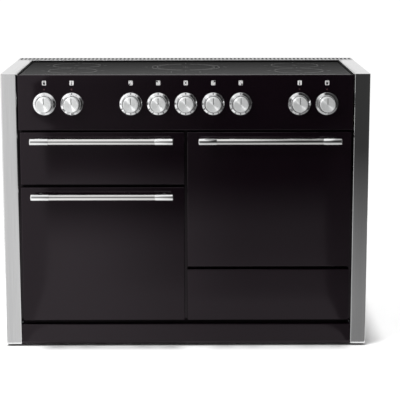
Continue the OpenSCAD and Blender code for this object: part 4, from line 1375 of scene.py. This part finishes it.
@dataclass
class RearScrews:
    """Rows of small screws with sunk middles, which hold the back panel."""

    head_r: float = 4.5 * MM
    sunk: float = 1.3 * MM
    edge_in: float = 12.0 * MM
    across: int = 7
    up: int = 5

    def build(self) -> None:
        """Builds all the screw heads as one piece."""
        low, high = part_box("back_panel")
        outward = Matrix.Rotation(math.radians(-90), 4, "X")
        spots = []
        for i in range(self.across):
            x = low.x + self.edge_in + (high.x - low.x - 2 * self.edge_in) * i / (self.across - 1)
            spots += [(x, low.z + self.edge_in), (x, high.z - self.edge_in)]
        for i in range(1, self.up + 1):
            z = low.z + (high.z - low.z) * i / (self.up + 1)
            spots += [(low.x + self.edge_in, z), (high.x - self.edge_in, z)]
        bm = bmesh.new()
        for x, z in spots:
            place = Matrix.Translation((x, high.y - self.sunk, z)) @ outward
            recess = [(0.5 * MM, 0.6 * MM), (1.4 * MM, 0.9 * MM), (1.8 * MM, self.sunk * 0.98)]
            profile = [*recess, (self.head_r, self.sunk * 0.9), (self.head_r, 0), (0, 0), recess[0]]
            lathe(bm, profile, place, 20)
        piece("rear_screws", bm, ZINC, Body.CHASSIS)


# Studio

# The fronts' plane and the card before them along Y, and how much wider the camera's mirror image is there
FRONT_Y = -0.27
FRONT_CARD_Y = -1.054
FRONT_CARD_GAIN = 1.163


def by_height(low: float, high: float, out: tuple[float, float]) -> Callable[[Graph], Socket]:
    """A card's brightness that changes between two heights."""
    return lambda graph: graph.span(graph.axes()["Z"], low, high, out)


@dataclass
class Studio:
    """White surroundings, a pale floor, two lamps, and cards that only polished faces see."""

    sky: float = 0.52
    floor_tint: float = 0.86
    sun_power: float = 2.2
    sun_tilt: tuple[float, float] = (2.9, 2.8)
    sun_angle: float = 5.6
    key_at: tuple[float, float, float] = (-1.5, -2.0, 2.3)
    key_size: float = 0.9
    key_power: float = 36.0
    rear_y: float = 0.236
    rail_y: float = 0.4
    strip_y: float = 0.41

    @staticmethod
    def looked_at(tree: bpy.types.NodeTree) -> Socket:
        """One for camera, glossy and transmission rays, and nought for the others.

        Args:
            tree: The world's nodes.

        Returns:
            The value's socket.
        """
        path = tree.nodes.new("ShaderNodeLightPath")
        total = path.outputs["Is Camera Ray"]
        for name in ("Is Glossy Ray", "Is Transmission Ray"):
            node = tree.nodes.new("ShaderNodeMath")
            node.operation = "MAXIMUM"
            tree.links.new(total, node.inputs[0])
            tree.links.new(path.outputs[name], node.inputs[1])
            total = node.outputs[0]
        return total

    def world(self) -> None:
        """A white world where it is looked at, and a plain soft light elsewhere."""
        world = bpy.data.worlds.new("studio")
        world.use_nodes = True
        bpy.context.scene.world = world
        tree = world.node_tree
        back = tree.nodes["Background"]
        back.inputs["Color"].default_value = (1, 1, 1, 1)
        level = tree.nodes.new("ShaderNodeMapRange")
        level.inputs["To Min"].default_value = self.sky
        level.inputs["To Max"].default_value = 1.0
        tree.links.new(self.looked_at(tree), level.inputs["Value"])
        tree.links.new(level.outputs[0], back.inputs["Strength"])

    def floor(self) -> None:
        """A pale floor that keeps the object's shadow."""
        bm = bmesh.new()
        bmesh.ops.create_grid(bm, x_segments=8, y_segments=8, size=30.0)
        graph = Graph("floor_paper")
        tints = [(self.floor_tint * factor,) * 3 for factor in (1.0, 1.01)]
        graph.set(Base_Color=graph.mix(graph.noise(2.0, 2.0), *tints), Roughness=0.9)
        graph.shader.inputs["Specular IOR Level"].default_value = 0.0
        obj = linked("floor", made("floor", bm))
        obj.data.materials.append(graph.material)

    def card(self, name: str, rows: Sequence[Sequence[Sequence[float]]],
             light: Callable[[Graph], Socket]) -> None:
        """A card that only glossy rays see.

        Args:
            name: The card's name.
            rows: Its two ends at each step of its section.
            light: Draws its brightness.
        """
        bm = bmesh.new()
        lines = [[bm.verts.new(end) for end in row] for row in rows]
        for a, b in zip(lines, lines[1:]):
            bm.faces.new((a[0], a[1], b[1], b[0]))
        graph = Graph(name)
        graph.set(Base_Color=(0.0, 0.0, 0.0), Roughness=1.0)
        graph.shader.inputs["Specular IOR Level"].default_value = 0.0
        graph.shader.inputs["Emission Color"].default_value = (1, 1, 1, 1)
        graph.set(Emission_Strength=light(graph))
        obj = linked(name, made(name, bm))
        obj.data.materials.append(graph.material)
        for ray in ("camera", "diffuse", "transmission", "volume_scatter", "shadow"):
            setattr(obj, f"visible_{ray}", False)

    @staticmethod
    def ease(graph: Graph, value: Socket, start: float, end: float) -> Socket:
        """Nought at the start, one at the end, and a smooth step between them."""
        inputs = {"Value": value, "From Min": start, "From Max": end}
        return graph.add("ShaderNodeMapRange", inputs, interpolation_type="SMOOTHSTEP").outputs[0]

    @staticmethod
    def front_light(graph: Graph) -> Socket:
        """The front card: white at the lower left, dark at the upper right, plain before the posts.

        Args:
            graph: The card's graph.

        Returns:
            Its brightness.
        """
        x, y, z = graph.axes()
        left = Studio.ease(graph, x, 0.25, -0.54)
        low = Studio.ease(graph, z, 0.52, 0.14)
        near = Studio.ease(graph, y, -1.04, -0.70)
        high = Studio.ease(graph, z, 0.95, 1.35)
        dark_side = graph.span(low, 0.0, 1.0, (0.03, 0.42))
        dark_side = graph.mix(near, dark_side, (0.64,) * 3)
        pale_side = graph.span(low, 0.0, 1.0, (0.27, 1.0))
        late = Studio.ease(graph, z, 1.6, 2.1)
        lifted = graph.mix(Studio.ease(graph, x, 0.2, 0.45), high, late)
        fronts = graph.mix(lifted, graph.mix(left, dark_side, pale_side), (0.9,) * 3)
        widened = graph.span(y, FRONT_Y, FRONT_CARD_Y, (1.0, FRONT_CARD_GAIN))
        mirrored = graph.math("DIVIDE", x, widened)
        right_post = Studio.ease(graph, mirrored, 0.54, 0.55)
        left_post = Studio.ease(graph, mirrored, -0.535, -0.545)
        dimmed = graph.mix(right_post, fronts, graph.span(z, 0.0, 0.55, (0.26, 0.045)))
        posts = graph.mix(left_post, dimmed, graph.span(z, 0.0, 0.9, (0.72, 0.74)))
        return graph.mix(Studio.ease(graph, x, -0.78, -0.95), posts, (1.2,) * 3)

    @staticmethod
    def side_light(graph: Graph) -> Socket:
        """The right-hand card: dark in front of the knobs, and pale beside the side panel.

        Args:
            graph: The card's graph.

        Returns:
            Its brightness.
        """
        _, y, z = graph.axes()
        upward = graph.span(z, 1.2, 3.0, (0.03, 0.3))
        return graph.mix(Studio.ease(graph, y, -0.55, -0.25), upward, (0.45,) * 3)

    def cards(self) -> None:
        """The cards that shape the reflections."""
        sweep = [(-0.30, 0.004), (-0.80, 0.006), *arc(-0.80, 0.26, 0.254, -90, -180, 8)[1:],
                 (FRONT_CARD_Y, 2.3)]
        self.card("front_card", [[(x, y, z) for x in (-1.8, 2.6)] for y, z in sweep], self.front_light)
        behind = [(0.55, 0.919), (0.62, 0.98)]
        self.card("rear_card", [[(x, self.rear_y, z) for x in (-w, w)] for w, z in behind],
                  by_height(0.924, 1.007, (0.05, 0.23)))
        self.card("rail_card", [[(x, self.rail_y, z) for x in (-0.58, 0.58)] for z in (0.921, 0.955)],
                  by_height(0.921, 0.955, (0.5, 0.6)))
        for name, side in (("left", -1), ("right", 1)):
            ends = (side * 0.555, side * 1.1)
            self.card(f"strip_card_{name}", [[(x, self.strip_y, z) for x in ends] for z in (0.915, 1.2)],
                      by_height(0.92, 1.2, (0.8, 0.82)))
        over = [(1.5, 0.25), (1.45, 2.0), (0.35, 3.0)]
        self.card("side_card", [[(x, y, z) for y in (-1.05, 0.9)] for x, z in over], self.side_light)
        beside = [(-1.5, 0.01), (-1.6, 1.9)]
        self.card("left_card", [[(x, y, z) for y in (-0.2, 2.4)] for x, z in beside],
                  by_height(0.0, 1.9, (0.2, 0.75)))

    def key(self) -> None:
        """A square lamp at the upper left in front, which gives the turned faces their bright fans."""
        light = bpy.data.lights.new("key", "AREA")
        light.energy = self.key_power
        light.size = self.key_size
        obj = linked("key", light)
        obj.location = self.key_at
        aim = Vector((0.0, 0.0, 0.6)) - Vector(self.key_at)
        obj.rotation_euler = aim.to_track_quat("-Z", "Y").to_euler()

    def sun(self) -> None:
        """A soft sun nearly overhead, from slightly left and in front; polished faces don't show it."""
        light = bpy.data.lights.new("sun", "SUN")
        light.energy = self.sun_power
        light.angle = math.radians(self.sun_angle)
        obj = linked("sun", light)
        obj.location = (-0.4, -0.4, 4.0)
        obj.rotation_euler = (math.radians(self.sun_tilt[1]), math.radians(-self.sun_tilt[0]), 0.0)
        obj.visible_glossy = False

    def build(self) -> None:
        """Sets up the world, the floor, the cards and the lamps."""
        self.world()
        self.floor()
        self.cards()
        self.sun()
        self.key()


@dataclass
class Camera:
    """The photograph's point of view: in front, above the hob, looking slightly down."""

    at: tuple[float, float, float] = (0.0027, -5.0724, 1.3929)
    pitch: float = 79.48
    yaw: float = -0.526
    lens: float = 132.49
    sensor: float = 36.0

    def build(self) -> None:
        """Creates the scene's camera."""
        data = bpy.data.cameras.new("camera")
        data.lens = self.lens
        data.sensor_width = self.sensor
        obj = linked("camera", data)
        obj.location = self.at
        obj.rotation_euler = (math.radians(self.pitch), 0.0, math.radians(self.yaw))
        bpy.context.scene.camera = obj


def dress_nodes() -> None:
    """Gives every CAD node the finish of its slot; the back panel is zinc-plated."""
    for part in frame["record"]["subparts"]:
        obj = frame["nodes"][part["node"]]
        finish = ZINC if part["node"] == "back_panel" else FINISH_OF_SLOT[part["material_slot"]]
        obj.data.materials.clear()
        obj.data.materials.append(finish.material())


def main() -> None:
    """Builds the camera, the dressed pieces and the studio, in that order."""
    logging.basicConfig(level=logging.INFO, format="%(name)s: %(message)s")
    Camera().build()
    dress_nodes()
    for node, body in (("left_door_panel", Body.LEFT_DOOR), ("right_door_panel", Body.RIGHT_DOOR),
                       ("grill_front", Body.GRILL), ("storage_front", Body.STORAGE)):
        PressedFront(node, body).build()
    Fascia().build()
    Plinth().build()
    Bezels().build()
    for number in range(1, 10):
        Knob(number).build()
    for node, body, front in (("left_door_handle", Body.LEFT_DOOR, "left_door_panel"),
                              ("right_door_handle", Body.RIGHT_DOOR, "right_door_panel"),
                              ("grill_handle", Body.GRILL, "grill_front")):
        Handle(node, body, front).build()
    SidePanel("side_panel_left", -1).build()
    SidePanel("side_panel_right", 1).build()
    VentRail().build()
    Hob().build()
    GlassSeal().build()
    for node, body in (("foot_front_left", "foot_fl"), ("foot_front_right", "foot_fr"),
                       ("foot_rear_left", "foot_rl"), ("foot_rear_right", "foot_rr")):
        Foot(node, body).build()
    RearScrews().build()
    Studio().build()
    bpy.context.scene.view_settings.view_transform = "Standard"


if __name__ == "__main__":
    main()
